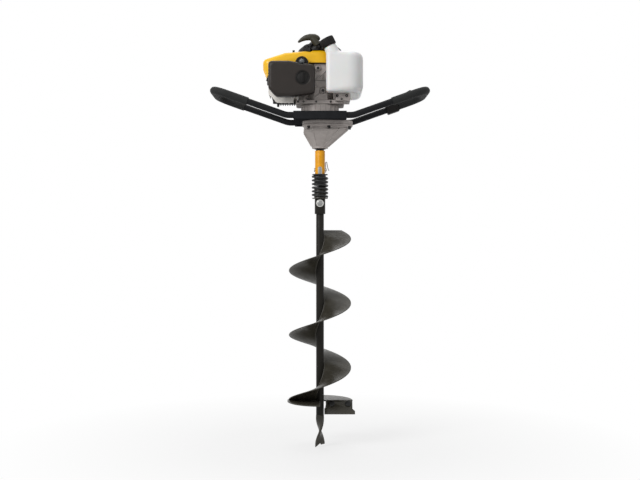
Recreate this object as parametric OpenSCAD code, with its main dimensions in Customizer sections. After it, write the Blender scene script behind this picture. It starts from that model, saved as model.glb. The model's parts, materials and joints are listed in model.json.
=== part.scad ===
// Earth auger: a petrol powerhead with a handle frame, a shock spring and a bolted-on bit.
// Millimetres. Z runs up the drive axis from the lowest tip of the bit, X to the right, -Y to the front.

/* [Auger bit] */
// Diameter of the helical flight
flight_d = 200; // [180:1:208]
// Rise of the flight in one turn
flight_pitch = 207; // [195:1:212]
// Thickness of the flight plate
flight_t = 3; // [2:0.1:4]
// Height at which the flight ends
flight_top = 697; // [660:1:700]
// Outside diameter of the auger tube
tube_d = 25; // [23:0.1:26]
// Wall of the auger tube
tube_wall = 3; // [2:0.1:4]
// Height of the top of the bit socket
bit_len = 799; // [780:1:820]
// Outside diameter of the bit socket
socket_d = 34; // [33:0.1:36]
// Length of the bit socket
socket_len = 49; // [44:1:54]
// Length of the twisted point
point_len = 104; // [95:1:108]
// Width of the point at its lower end
point_w = 31; // [28:1:33]
// Thickness of the point
point_t = 8; // [6:0.5:10]
// Diameter of the cutting disc
disc_d = 210; // [206:1:214]
// Thickness of the cutting disc
disc_t = 4; // [3:0.1:5]
// Height of the top face of the cutting disc
disc_top = 151; // [149:1:153]
// Forward tilt of the cutting blade
blade_tilt = 31; // [25:1:35]
// Thickness of the cutting blade
blade_t = 5; // [4:0.5:6]
// Diameter of the blade bolts
blade_bolt_d = 10; // [8:0.5:11]
// Diameter of the bolt through the socket
bit_bolt_d = 12; // [10:0.5:13]

/* [Spring and coupler] */
// Outside diameter of the shock spring
spring_d = 53.5; // [52:0.1:55]
// Wire diameter of the shock spring
spring_wire = 7.2; // [6.8:0.1:7.6]
// Number of turns in the shock spring
spring_turns = 5.6; // [5:0.1:6]
// Length of the spring between its two flanges
spring_len = 73; // [71:0.5:76]
// Diameter of the coupler sleeve
coupler_d = 32; // [31:0.1:34]
// Length of the coupler sleeve
coupler_len = 75; // [72:1:78]
// Diameter of the output shaft
shaft_d = 25; // [24:0.1:25.5]
// Diameter of the coupler pin
pin_d = 8; // [7:0.1:9]
// Wire diameter of the hairpin clip
clip_wire = 2.5; // [2:0.1:2.8]

/* [Gearbox and clutch] */
// Tooth module of both gear stages
gear_module = 1.25; // [1.2:0.01:1.26]
// Face width of the wheels
gear_w = 10; // [9:0.5:10.5]
// Diameter of the clutch drum
drum_d = 82; // [78:1:86]
// Diameter of the clutch housing
clutch_d = 118; // [116:1:122]
// Diameter of the case bolts
bolt_d = 6; // [5:0.1:6.2]

/* [Engine] */
// Cylinder bore
bore_d = 44; // [42:0.5:45]
// Piston stroke
stroke = 34; // [32:0.5:34.5]
// Connecting rod between centres
rod_len = 70; // [69:0.5:71]
// Diameter of the crankshaft ends
crank_d = 15; // [14:0.1:16]
// Side of the square cooling fins
fin_w = 88; // [84:1:90]
// Tapped hole diameter in the front bosses
boss_hole_d = 5; // [4.8:0.1:6]
// Wall of the shroud
shroud_wall = 2.5; // [2:0.1:3]
// Diameter of the rope groove in the starter pulley
rope_groove_d = 84; // [80:1:86]
// Diameter of the starter rope
rope_d = 4; // [3:0.1:4.4]
// Tilt of the rope's pull to the left
pull_tilt = 28; // [24:1:30]
// Diameter of the filter knob
knob_d = 44; // [40:1:45]
// Diameter of the primer bulb
primer_d = 18; // [16:0.5:19]

/* [Fuel tank] */
// Wall of the fuel tank
tank_wall = 3; // [2.5:0.1:3.5]
// Outside diameter of the filler neck
neck_d = 32; // [30:0.5:33]
// Diameter of the fuel cap
cap_d = 46; // [44:0.5:47]
// Height of the fuel cap
cap_h = 25; // [23:0.5:27]

/* [Handle] */
// Diameter of the handle tube
bar_d = 20; // [19:0.1:21]
// Wall of the handle tube
bar_wall = 2; // [1.5:0.1:3]
// Distance between front and rear bars
bar_span = 208; // [204:1:212]
// Upward slope of the loop ends
bar_slope = 19.5; // [18:0.1:20]
// Distance of each end bar from the middle
loop_half = 335; // [326:1:340]
// Corner radius of the loops
corner_r = 45; // [42:1:50]
// Thickness of the grip sleeves
grip_t = 2.4; // [2:0.1:3]

/* [Hidden] */
$fn = 64;
// Running clearance on a radius, and the plain gap between pieces that move
fit = 0.05;
gap = 0.3;

// Radii
tube_r = tube_d / 2;
socket_r = socket_d / 2;
shaft_r = shaft_d / 2;
bar_r = bar_d / 2;
crank_r = crank_d / 2;

// Bit levels
socket_z = bit_len - socket_len;
tube_top = socket_z + 6;
bit_bolt_z = bit_len - 15;
bolt_head_h = 6;
lip_len = 34;
lip_t = 4;
blade_len = 49;
blade_bolt_x = [38, 90];
blade_bolt_drop = 15;

// Spring and coupler levels
flange_t = 3;
flange_r = 25;
spring_z0 = bit_len + flange_t;
spring_z1 = spring_z0 + spring_len;
seat_h = 34;
spring_r = (spring_d - spring_wire) / 2;
seat_r = spring_r - spring_wire / 2 - 0.6;
coupler_z = spring_z1 + flange_t;
coupler_top = coupler_z + coupler_len;
shaft_z0 = coupler_z + 4;
pin_z = coupler_z + 14;
clip_x = coupler_d / 2 + 2.3;
pin_out = clip_x + 4;

// Gearbox levels, from the bottom of the case up
case_z = coupler_top + 7;
flange_z = case_z + 70;
case_top = case_z + 78;
cover_top = case_top + 10;
cradle_t = 4;
clutch_z = cover_top + cradle_t;
clutch_top = clutch_z + 45;
wheel2_z = case_z + 49;
wheel1_z = case_z + 66;

// Gear teeth: two equal stages on one centre distance
pinion_teeth = 12;
wheel_teeth = 60;
pressure_angle = 25;
backlash = 0.12;
centre_d = gear_module * (pinion_teeth + wheel_teeth) / 2;
wheel_r = gear_module * wheel_teeth / 2;
lay_r = 5.4;
out_bearing_r = 23.5;
out_bearing_w = 12;
lay_bearing_r = 10;
lay_bearing_w = 6;
pinion_bearing_r = 13;
pinion_bearing_w = 7;
crank_bearing_r = 17.5;
crank_bearing_w = 12;
case_r = 52;
lay_case_r = 44;
out_bearing_z = [case_z + 6, case_z + 32];
lay_bearing_z = [case_z + 42.5, case_top + 1.5];
pinion_bearing_z = [case_top + 1.5, clutch_z + 1];

// Bolts: four long ones through the sandwich, two short ones at the right end
long_bolts = [[-36, -36], [-36, 36], [28, -44], [28, 44]];
short_bolts = [[95, -20], [95, 20]];
bolt_r = bolt_d / 2;
hole_r = bolt_r + 0.2;
head_r = 5.2;

// Engine levels
base_z = clutch_top;
base_t = 13;
axis_z = base_z + 75;
crankcase_top = base_z + 129;
web_r = 31;
web_t = 12;
web_gap = 20;
throw_r = stroke / 2;
pin_x = -throw_r - rod_len;
crown_x = pin_x - 24;
piston_len = 36;
head_x = crown_x - 3;
chamber_r = 37;
crank_bearing_z = [axis_z - 40, axis_z + 28];
liner_r = bore_d / 2 + 6;
fin_x = [for (i = [0:12]) -64 - i * 8];
fly_z = crankcase_top + 3;
fly_r = 47;
shroud_top = crankcase_top + 41;
dome_r = 62;
dome_top = shroud_top + 34;
post_r = 5;
pulley_z = shroud_top + 5;
pulley_h = 10;
drum_z = clutch_z + 10;
drum_wall = 2;
shoe_out = 1;
shoe_z = drum_z + 7;
shoe_h = 14;
base_bolts = [[-37, -37], [-37, 37], [37, -37], [37, 37]];
bosses = [[-6, axis_z + 38], [9, axis_z - 33]];

// Starter pull: guide point on the dome and the handle's arch along the pull
guide = [-5, -62, shroud_top + 16];
stem_len = 28;
arch = [[-48, 8, 4.6], [-34, 13, 5.6], [-19, 12.5, 6.2], [-8, 8.5, 6.6], [2, 1.5, 6.8], [9, -8, 6], [10, -14, 5]];

// Intake and air filter, front to back
filter_x0 = -160;
filter_x1 = -17;
filter_z0 = axis_z - 53;
filter_z1 = axis_z + 52;
filter_y0 = -111;
filter_y1 = -84;
filter_base_t = 6;
carb_x = -86;
knob_x = -54;
primer_x = -57;
primer_z = axis_z + 54;
choke_x = -163;
choke_z = axis_z + 18;
choke_pin_r = 2.5;

// Tank corners in plan [x, y, radius], front slab then right slab
tank_z0 = base_z + 33;
tank_z1 = base_z + 170;
front_slab = [[31, -98, 12], [114, -85, 25], [127, -78, 12], [31, -78, 12]];
right_slab = [[89, -98, 12], [114, -85, 25], [108, 49, 31], [89, 68, 12]];
neck_tilt = 26.6;
neck_foot = [34, -87, tank_z1];
neck_len = 31;
cap_from = 9;
neck_r = neck_d / 2;
bore_r = neck_r - 3;

// Handle geometry
bar_z = clutch_z + 4;
bend_r = 60;
bend_x = 105 - bend_r * tan(bar_slope / 2);
slope_x = bend_x + bend_r * sin(bar_slope);
slope_z = bar_z + bend_r * (1 - cos(bar_slope));
slope_len = (loop_half - slope_x) / cos(bar_slope);
grip_from = 118;
housing_from = 112;
housing_len = 42;
lever_x = housing_from + 34;
lever_z = 21;
lever_pin_r = 3;
switch_x = housing_from + 12;
switch_r = 6.5;
switch_z = 19;

// Plain helpers: a rod or a ring on the drive axis, and rods along X and Y
module rod(r, z0, z1) {
  translate([0, 0, z0]) cylinder(r = r, h = z1 - z0);
}

module ring(ro, ri, z0, z1) {
  difference() {
    rod(ro, z0, z1);
    rod(ri, z0 - 1, z1 + 1);
  }
}

module rod_x(r, x0, x1) {
  translate([x0, 0, 0]) rotate([0, 90, 0]) cylinder(r = r, h = x1 - x0);
}

module rod_y(r, y0, y1) {
  translate([0, y0, 0]) rotate([-90, 0, 0]) cylinder(r = r, h = y1 - y0);
}

// A box given by its two opposite corners
module block(lo, hi) {
  translate(lo) cube(hi - lo);
}

// The same box with all edges rounded
module soft_box(lo, hi, r) {
  hull() {
    for (x = [lo[0] + r, hi[0] - r], y = [lo[1] + r, hi[1] - r], z = [lo[2] + r, hi[2] - r]) {
      translate([x, y, z]) sphere(r = r, $fn = 24);
    }
  }
}

// Involute tooth outline: half angle of a tooth at radius r, in degrees
function roll(rb, r) = tan(acos(rb / r)) * 180 / PI - acos(rb / r);
function half_tooth(n, r) =
  let (rp = gear_module * n / 2, rb = rp * cos(pressure_angle), play = backlash / 2 / rp * 180 / PI)
  90 / n - play + roll(rb, rp) - roll(rb, max(r, rb));
function polar(r, a) = [r * cos(a), r * sin(a)];
function tooth_radii(n) =
  let (rp = gear_module * n / 2, rb = rp * cos(pressure_angle), rf = rp - 1.25 * gear_module)
  let (r0 = max(rf, rb), r1 = rp + gear_module)
  concat(rf < rb ? [rf] : [], [for (k = [0:3]) r0 + (r1 - r0) * k / 3]);
function gear_outline(n, phase) =
  let (rr = tooth_radii(n), last = len(rr) - 1)
  [for (i = [0:n - 1]) each concat(
    [for (k = [0:last]) polar(rr[k], phase + 360 * i / n - half_tooth(n, rr[k]))],
    [for (k = [last:-1:0]) polar(rr[k], phase + 360 * i / n + half_tooth(n, rr[k]))])];

module gear(n, w, phase) {
  linear_extrude(height = w) polygon(gear_outline(n, phase));
}

// A round wire swept along points; side tells which way its rings are laid out, closed joins its ends
function unit(v) = v / norm(v);
function heading(p, i, closed) =
  let (n = len(p), after = closed ? (i + 1) % n : min(i + 1, n - 1), before = closed ? (i + n - 1) % n : max(i - 1, 0))
  unit(p[after] - p[before]);
function wire_ring(p, i, r, sides, side, closed) =
  let (t = heading(p, i, closed), u = unit(cross(t, side)), w = cross(u, t))
  [for (k = [0:sides - 1]) p[i] + r * (cos(360 * k / sides) * u + sin(360 * k / sides) * w)];

module wire(p, r, sides, side, closed = false) {
  n = len(p);
  points = [for (i = [0:n - 1]) each wire_ring(p, i, r, sides, side, closed)];
  walls = [for (i = [0:closed ? n - 1 : n - 2], k = [0:sides - 1])
    let (a = i * sides + k, b = i * sides + (k + 1) % sides, c = (i + 1) % n * sides)
    each [[a, b, c + (k + 1) % sides], [a, c + (k + 1) % sides, c + k]]];
  first = [[for (k = [sides - 1:-1:0]) k]];
  final = [[for (k = [0:sides - 1]) (n - 1) * sides + k]];
  polyhedron(points, closed ? walls : concat(walls, first, final));
}

// Auger bit

module auger_tube() {
  color("#2b2d2c") ring(tube_r, tube_r - tube_wall, point_len + 0.05, tube_top);
}

// The flight: a right-handed plate wound round the tube
flight_from = -184;
flight_z_front = 205;
flight_step = 7.5;
flight_turn = 360 * (flight_top - flight_z_front) / flight_pitch - 90 - flight_from;
flight_n = ceil(flight_turn / flight_step);
function flight_z(a) = flight_z_front + flight_pitch * (a + 90) / 360;
function flight_section(a) =
  let (z = flight_z(a), ri = tube_r + 0.2, ro = flight_d / 2)
  [[ri * cos(a), ri * sin(a), z], [ro * cos(a), ro * sin(a), z],
   [ro * cos(a), ro * sin(a), z + flight_t], [ri * cos(a), ri * sin(a), z + flight_t]];

module auger_flight() {
  points = [for (i = [0:flight_n]) each flight_section(flight_from + flight_turn * i / flight_n)];
  walls = [for (i = [0:flight_n - 1], k = [0:3])
    let (a = i * 4 + k, b = i * 4 + (k + 1) % 4)
    each [[a, b + 4, b], [a, a + 4, b + 4]]];
  last = flight_n * 4;
  ends = [[0, 1, 2], [0, 2, 3], [last, last + 2, last + 1], [last, last + 3, last + 2]];
  color("#2b2d2c") polyhedron(points, concat(walls, ends));
}

// Places things on the tilted plane of the lip and the blade
module on_lip() {
  translate([0, 0, disc_top]) rotate([-blade_tilt, 0, 0]) children();
}

module blade_holes() {
  on_lip() for (x = blade_bolt_x) {
    translate([x, 0, -blade_bolt_drop]) rod_y(blade_bolt_d / 2 + 0.2, -20, 20);
  }
}

module cutting_head() {
  color("#2b2d2c") difference() {
    union() {
      translate([0, 0, disc_top - disc_t]) rotate_extrude(angle = 270) {
        translate([tube_r + 0.2, 0]) square([disc_d / 2 - tube_r - 0.2, disc_t]);
      }
      on_lip() block([20, 0, -lip_len], [disc_d / 2 - 1, lip_t, 0]);
    }
    blade_holes();
    rod(300, disc_top, disc_top + 20);
  }
}

module cutting_blade() {
  outline = [[14, -blade_len], [112, -blade_len], [112, -blade_len + 10], [104, -blade_len + 17],
    [104, -2], [26, -2], [26, -26], [14, -30]];
  color("#33332f") difference() {
    on_lip() translate([0, -0.05, 0]) rotate([90, 0, 0]) {
      linear_extrude(height = blade_t) polygon(outline);
    }
    blade_holes();
  }
}

module blade_bolts() {
  r = blade_bolt_d / 2;
  color("#232323") on_lip() for (x = blade_bolt_x) translate([x, 0, -blade_bolt_drop]) {
    rod_y(r, -blade_t - 1, lip_t + 9);
    rod_y(r + 4, -blade_t - 4, -blade_t - 0.1);
    difference() {
      rotate([-90, 0, 0]) translate([0, 0, lip_t + 0.1]) cylinder(r = r * 1.8, h = 7, $fn = 6);
      rod_y(r + fit, lip_t, lip_t + 12);
    }
  }
}

module fishtail_point() {
  notch = [[-15.5, -1], [0.5, 12.5], [3, 8], [18, 11], [18, -1]];
  color("#2b2d2c") difference() {
    linear_extrude(height = point_len, twist = -180, slices = 24, scale = [0.8, 1], $fn = 8) {
      square([point_w, point_t], center = true);
    }
    translate([0, 10, 0]) rotate([90, 0, 0]) linear_extrude(height = 20) polygon(notch);
  }
}

module bit_socket() {
  color("#2b2d2c") difference() {
    rod(socket_r, socket_z, bit_len);
    rod(tube_r + fit, socket_z - 1, bit_len + 1);
    translate([0, 0, bit_bolt_z]) rod_y(bit_bolt_d / 2 + 0.2, -40, 40);
  }
}

module bit_adapter() {
  color("#2b2d2c") difference() {
    union() {
      rod(tube_r, tube_top + 1, bit_len + 1);
      rod(flange_r, bit_len + 0.05, bit_len + flange_t);
      rod(seat_r, bit_len + 1, spring_z0 + seat_h);
    }
    translate([0, 0, bit_bolt_z]) rod_y(bit_bolt_d / 2 + 0.2, -40, 40);
  }
}

module bit_bolt() {
  r = bit_bolt_d / 2;
  color("#c9c9c6") translate([0, 0, bit_bolt_z]) {
    rod_y(r, -socket_r - 1, socket_r + 13);
    rod_y(2 * r, -socket_r - 3, -socket_r - 0.1);
    translate([0, -socket_r - 3, 0]) rotate([90, 0, 0]) cylinder(r = 1.6 * r, h = bolt_head_h, $fn = 6);
    difference() {
      translate([0, socket_r + 0.1, 0]) rotate([-90, 0, 0]) cylinder(r = 1.7 * r, h = 10, $fn = 6);
      rod_y(r + fit, socket_r, socket_r + 14);
    }
  }
}

// Spring, coupler and output shaft

// Left-handed helix, and the least gap between points of neighbouring turns
spring_rings = 24;
spring_start = spring_z0 + spring_wire / 2 + 0.2;
spring_rise = spring_len - spring_wire - 0.4;
spring_path = [for (i = [0:round(spring_turns * spring_rings)])
  let (a = -360 * i / spring_rings, h = i / (spring_turns * spring_rings))
  [spring_r * cos(a), spring_r * sin(a), spring_start + spring_rise * h]];
spring_gap = min([for (i = [0:len(spring_path) - 1], j = [i + 18:min(i + 30, len(spring_path) - 1)])
  norm(spring_path[i] - spring_path[j])]) - spring_wire;
echo("shock spring, least gap to itself in mm:", spring_gap);

module shock_spring() {
  color("#26282a") wire(spring_path, spring_wire / 2, 8, [0, 0, 1]);
}

module drive_coupler() {
  color("#e8b81f") difference() {
    union() {
      rod(coupler_d / 2, coupler_z - 1, coupler_top);
      rod(flange_r, spring_z1, coupler_z);
      rod(seat_r, spring_z1 - seat_h, coupler_z);
    }
    rod(shaft_r + fit, shaft_z0 - 1, coupler_top + 1);
    translate([0, 0, pin_z]) rod_x(pin_d / 2 + fit, -40, 40);
  }
}

module coupler_pin() {
  color("#b9b9b4") difference() {
    translate([0, 0, pin_z]) {
      rod_x(pin_d / 2, -coupler_d / 2 - 1, pin_out);
      rod_x(pin_d / 2 + 2, -coupler_d / 2 - 3, -coupler_d / 2 - 0.1);
    }
    translate([clip_x, 0, 0]) rod(clip_wire / 2 + 0.2, pin_z - 10, pin_z + 10);
  }
}

module hairpin_clip() {
  loop_r = 2;
  loop = [for (a = [180:-30:0]) [clip_x + loop_r + loop_r * cos(a), 0, pin_z + 23 + loop_r * sin(a)]];
  path = concat([[clip_x, 0, pin_z - 9], [clip_x, 0, pin_z + 5]], loop,
    [[clip_x + 6, 0, pin_z + 9], [clip_x + 7.5, 0, pin_z + 4], [clip_x + 10.5, 0, pin_z - 3]]);
  color("#8f908c") wire(path, clip_wire / 2, 8, [0, 1, 0]);
}

module output_shaft() {
  color("#8b8c8a") difference() {
    rod(shaft_r, shaft_z0, wheel2_z + gear_w + 2);
    translate([0, 0, pin_z]) rod_x(pin_d / 2 + fit, -40, 40);
  }
}

module output_gear() {
  color("#8b8c8a") difference() {
    translate([0, 0, wheel2_z]) gear(wheel_teeth, gear_w, 180 / wheel_teeth);
    rod(shaft_r + fit, wheel2_z - 1, wheel2_z + gear_w + 1);
  }
}

// Gearbox

module bolt_holes(spots, r, z0, z1) {
  for (p = spots) translate([p[0], p[1], 0]) rod(r, z0, z1);
}

module case_plan(z0, z1) {
  hull() {
    rod(57, z0, z1);
    translate([55, 0, 0]) rod(50, z0, z1);
  }
}

module gearbox_case() {
  tip = wheel_r + gear_module + 1.8;
  color("#a39c97") difference() {
    union() {
      rod(26, case_z, case_z + 12);
      hull() {
        rod(case_r, case_z + 51, flange_z + 1);
        translate([46, 0, 0]) rod(lay_case_r, case_z + 62, flange_z + 1);
        rod(28, case_z + 8, case_z + 9);
      }
      case_plan(flange_z, case_top);
      bolt_bosses(flange_z, case_top);
    }
    rod(tip, wheel2_z - 3, case_top + 1);
    translate([centre_d, 0, 0]) {
      rod(tip, wheel1_z - 2, case_top + 1);
      rod(gear_module * pinion_teeth / 2 + gear_module + 2, wheel2_z - 1, case_top);
      rod(lay_bearing_r + fit, lay_bearing_z[0], wheel2_z);
    }
    rod(out_bearing_r + fit, out_bearing_z[0] - 0.1, wheel2_z);
    rod(18 + fit, case_z - 1, case_z + 10);
    bolt_holes(concat(long_bolts, short_bolts), hole_r, flange_z - 1, case_top + 1);
    bolt_holes(long_bolts, head_r + 1, case_z + 30, flange_z);
  }
}

module bolt_bosses(z0, z1) {
  bolt_holes(short_bolts, 8, z0, z1);
}

module gearbox_cover() {
  color("#a39c97") difference() {
    union() {
      case_plan(case_top, cover_top);
      bolt_bosses(case_top, cover_top);
    }
    rod(pinion_bearing_r + fit, pinion_bearing_z[0], cover_top + 1);
    rod(lay_r + 3, case_top - 1, cover_top);
    translate([centre_d, 0, 0]) rod(lay_bearing_r + fit, case_top - 1, lay_bearing_z[1] + lay_bearing_w + 0.1);
    bolt_holes(long_bolts, hole_r, case_top - 1, cover_top + 1);
    bolt_holes(short_bolts, bolt_r + fit, case_top - 1, cover_top - 1);
  }
}

module output_seal() {
  color("#1c1c1c") ring(18, shaft_r + 0.1, case_z - 2, out_bearing_z[0] - 0.3);
}

// Plain bearing rings on the output shaft, layshaft, pinion shaft and crankshaft
module ball_bearings() {
  color("#b5b6b8") {
    for (z = out_bearing_z) ring(out_bearing_r, shaft_r + fit, z, z + out_bearing_w);
    for (z = lay_bearing_z) {
      translate([centre_d, 0, 0]) ring(lay_bearing_r, lay_r + fit, z, z + lay_bearing_w);
    }
    for (z = pinion_bearing_z) ring(pinion_bearing_r, lay_r + fit, z, z + pinion_bearing_w);
    for (z = crank_bearing_z) ring(crank_bearing_r, crank_r + fit, z, z + crank_bearing_w);
  }
}

module layshaft() {
  color("#8b8c8a") translate([centre_d, 0, 0]) {
    rod(lay_r, lay_bearing_z[0] + 0.5, lay_bearing_z[1] + lay_bearing_w - 0.5);
    translate([0, 0, wheel2_z - 0.3]) gear(pinion_teeth, gear_w + 0.6, 0);
  }
}

module layshaft_gear() {
  color("#8b8c8a") translate([centre_d, 0, 0]) difference() {
    translate([0, 0, wheel1_z]) gear(wheel_teeth, gear_w, 180 / wheel_teeth);
    rod(lay_r + fit, wheel1_z - 1, wheel1_z + gear_w + 1);
  }
}

module pinion_shaft() {
  color("#8b8c8a") {
    rod(lay_r, wheel1_z, drum_z + 10);
    translate([0, 0, wheel1_z - 0.3]) gear(pinion_teeth, gear_w + 0.6, 0);
  }
}

module case_bolts() {
  color("#1f2022") {
    for (p = long_bolts) translate([p[0], p[1], 0]) {
      rod(bolt_r, flange_z - 1, clutch_z + 10);
      translate([0, 0, flange_z - bolt_d]) cylinder(r = head_r, h = bolt_d - 0.1, $fn = 6);
    }
    for (p = short_bolts) translate([p[0], p[1], 0]) {
      rod(bolt_r, flange_z - 1, cover_top - 2);
      translate([0, 0, flange_z - bolt_d]) cylinder(r = head_r, h = bolt_d - 0.1, $fn = 6);
    }
    for (p = base_bolts) translate([p[0], p[1], 0]) {
      rod(bolt_r, base_z - 12, base_z + base_t + 1);
      translate([0, 0, base_z + base_t + 0.1]) cylinder(r = head_r, h = bolt_d, $fn = 6);
    }
  }
}

// Clutch

module clutch_drum() {
  color("#77797b") difference() {
    union() {
      rod(drum_d / 2, drum_z, drum_z + 23);
    }
    rod(drum_d / 2 - drum_wall, drum_z + 3, drum_z + 24);
    rod(lay_r + fit, drum_z - 1, drum_z + 24);
  }
}

module clutch_housing() {
  color("#a39c97") difference() {
    rod(clutch_d / 2, clutch_z, clutch_top);
    rod(drum_d / 2 + 3, drum_z - 1.5, clutch_top + 1);
    rod(pinion_bearing_r + fit, clutch_z - 1, drum_z);
    bolt_holes(long_bolts, bolt_r + fit, clutch_z - 1, clutch_z + 11);
    bolt_holes(base_bolts, bolt_r + fit, base_z - 13, base_z + 1);
  }
}

module clutch_shoe() {
  translate([0, 0, shoe_z]) rotate([0, 0, 8]) rotate_extrude(angle = 164) {
    translate([15, 0]) square([drum_d / 2 - drum_wall - shoe_out - 0.4 - 15, shoe_h]);
  }
}

module clutch_shoe_front() {
  color("#6d655c") mirror([0, 1, 0]) clutch_shoe();
}

module clutch_shoe_rear() {
  color("#6d655c") clutch_shoe();
}

// Handle

// Places things on the sloped plane of the right loop
module on_slope() {
  translate([slope_x, 0, slope_z]) rotate([0, -bar_slope, 0]) children();
}

// Centre line of the handle tube: a point on the slope, the bend below it and the rounded loop end
bend_steps = 4;
corner_steps = 7;
corner_y = bar_span / 2 - corner_r;
function on_loop(s, y) = [slope_x + s * cos(bar_slope), y, slope_z + s * sin(bar_slope)];
bend_points = [for (i = [0:bend_steps]) let (a = bar_slope * i / bend_steps)
  [bend_x + bend_r * sin(a), bar_span / 2, bar_z + bend_r * (1 - cos(a))]];
corner_points = [for (i = [0:corner_steps]) let (a = 90 * i / corner_steps)
  on_loop(slope_len - corner_r + corner_r * sin(a), corner_y + corner_r * cos(a))];
function to_front(p) = [for (i = [len(p) - 1:-1:0]) [p[i][0], -p[i][1], p[i][2]]];
function to_left(p) = [for (i = [len(p) - 1:-1:0]) [-p[i][0], p[i][1], p[i][2]]];
rear_right = concat(bend_points, corner_points);
right_half = concat(rear_right, to_front(rear_right));
bar_loop = concat(right_half, to_left(right_half));
bar_sides = 16;

module handle_frame() {
  color("#25272a") difference() {
    wire(bar_loop, bar_r, bar_sides, [0, 0, 1], true);
    wire(bar_loop, bar_r - bar_wall, bar_sides, [0, 0, 1], true);
  }
}

module handle_cradle() {
  half = bar_span / 2;
  color("#25272a") difference() {
    union() {
      block([-83, -half, cover_top], [83, half, clutch_z]);
      for (y = [-half, half]) block([-83, y - bar_r - 2.5, bar_z - 12], [83, y + bar_r + 2.5, bar_z + 12]);
    }
    for (y = [-half, half]) translate([0, y, bar_z]) rod_x(bar_r + fit, -84, 84);
    rod(pinion_bearing_r + 2, cover_top - 1, clutch_z + 1);
    bolt_holes(long_bolts, hole_r, cover_top - 1, clutch_z + 1);
  }
}

// Sleeve over one loop end; the values are how far up the slope it starts at the front and the rear
module grip(front_from, rear_from) {
  half = bar_span / 2;
  curve = concat(corner_points, to_front(corner_points));
  outer = concat([on_loop(rear_from, half)], curve, [on_loop(front_from, -half)]);
  inner = concat([on_loop(rear_from - 2, half)], curve, [on_loop(front_from - 2, -half)]);
  difference() {
    wire(outer, bar_r + grip_t, bar_sides, [0, 0, 1]);
    wire(inner, bar_r + gap, bar_sides, [0, 0, 1]);
  }
}

module left_grip() {
  color("#1d1d1e") mirror([1, 0, 0]) grip(grip_from, grip_from + 26);
}

module right_grip() {
  color("#1d1d1e") grip(grip_from, housing_from + housing_len + 1);
}

// Throttle housing on the right rear bar, with ears for the lever and a round seat for the switch
module on_bar() {
  on_slope() translate([0, bar_span / 2, 0]) children();
}

module throttle_housing() {
  ear_r = 8;
  color("#1b1b1c") on_bar() difference() {
    union() {
      soft_box([housing_from, -16.5, -16.5], [housing_from + housing_len, bar_r + grip_t + 1, 17], 4);
      for (y = [-12, 7.5]) translate([lever_x, y, lever_z]) rod_y(ear_r, 0, 4.5);
      for (y = [-12, 7.5]) block([lever_x - ear_r, y, 10], [lever_x + ear_r, y + 4.5, lever_z]);
    }
    rod_x(bar_r + fit, housing_from - 1, housing_from + housing_len + 1);
    translate([lever_x, 0, lever_z]) rod_y(lever_pin_r + fit, -20, 20);
    translate([switch_x, 0, switch_z]) rod_y(switch_r + gap, -5.5, 5.5);
  }
}

module throttle_trigger() {
  blade = [[-5, -2.6], [10, -3], [62, 9], [66, 13], [62, 16], [8, 6.5], [-2, 6]];
  color("#1b1b1c") on_bar() translate([lever_x, 0, lever_z]) {
    rod_y(lever_pin_r, -11, 11);
    translate([0, 7, 0]) rotate([90, 0, 0]) linear_extrude(height = 14) polygon(blade);
  }
}

module stop_switch() {
  color("#a52a20") on_bar() translate([switch_x, 0, switch_z]) {
    rod_y(switch_r, -5, 5);
    block([-2, -5, 0], [2, 5, switch_r + 3]);
  }
}

// Engine

module crank_plan(z0, z1) {
  rod(46, z0, z1);
  block([-20, -52, z0], [24, 0, z1]);
  block([-52, -36, max(z0, axis_z - 36)], [0, 36, min(z1, axis_z + 36)]);
}

// Hollows shared by the two crankcase halves
module crank_room() {
  rod(chamber_r, axis_z - 28, axis_z + 28);
  rod(crank_bearing_r + fit, crank_bearing_z[0], crank_bearing_z[1] + crank_bearing_w);
  rod(12, base_z - 1, crankcase_top + 1);
  translate([0, 0, axis_z]) rod_x(bore_d / 2 + 2 + fit, -60, 0);
  for (b = bosses) translate([b[0], 0, b[1]]) rod_y(boss_hole_d / 2, -70, -46);
}

module crankcase_lower() {
  color("#a8a09b") difference() {
    union() {
      hull() for (x = [-63, 63], y = [-44, 44]) translate([x, y, 0]) rod(14, base_z, base_z + base_t);
      crank_plan(base_z + base_t - 1, axis_z);
      block([50, -70, base_z + 8], [95, 18, tank_z0 - gap]);
      block([-61.5, -28, base_z + 8], [-40, 28, axis_z - 37]);
      translate([bosses[1][0], 0, bosses[1][1]]) rod_y(9, -58, -40);
    }
    crank_room();
    bolt_holes(base_bolts, hole_r, base_z - 1, base_z + base_t + 1);
  }
}

module crankcase_upper() {
  color("#a8a09b") difference() {
    union() {
      crank_plan(axis_z, crankcase_top);
      translate([bosses[0][0], 0, bosses[0][1]]) rod_y(9, -58, -40);
      block([-16, 30, crankcase_top - 12], [16, 56, crankcase_top]);
    }
    crank_room();
  }
}

module engine_cylinder() {
  half = fin_w / 2;
  color("#bdbab6") difference() {
    translate([0, 0, axis_z]) union() {
      rod_x(bore_d / 2 + 2, -52.5, -40);
      rod_x(liner_r, head_x - 16, -52.1);
      rod_x(20, fin_x[12] - 2.4, head_x);
      block([-58, -36, -36], [-52.1, 36, 36]);
      for (x = fin_x) block([x - 2.4, -half, -half], [x, half, half]);
      block([carb_x - 14, -50, -14], [carb_x + 14, 50, 14]);
    }
    translate([0, 0, axis_z]) {
      rod_x(bore_d / 2, head_x, 0);
      rod_x(7 + fit, head_x - 17, head_x);
      rod_x(16, -200, head_x - 16);
      translate([carb_x, 0, 0]) rod_y(9, -60, 60);
    }
  }
}

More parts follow.
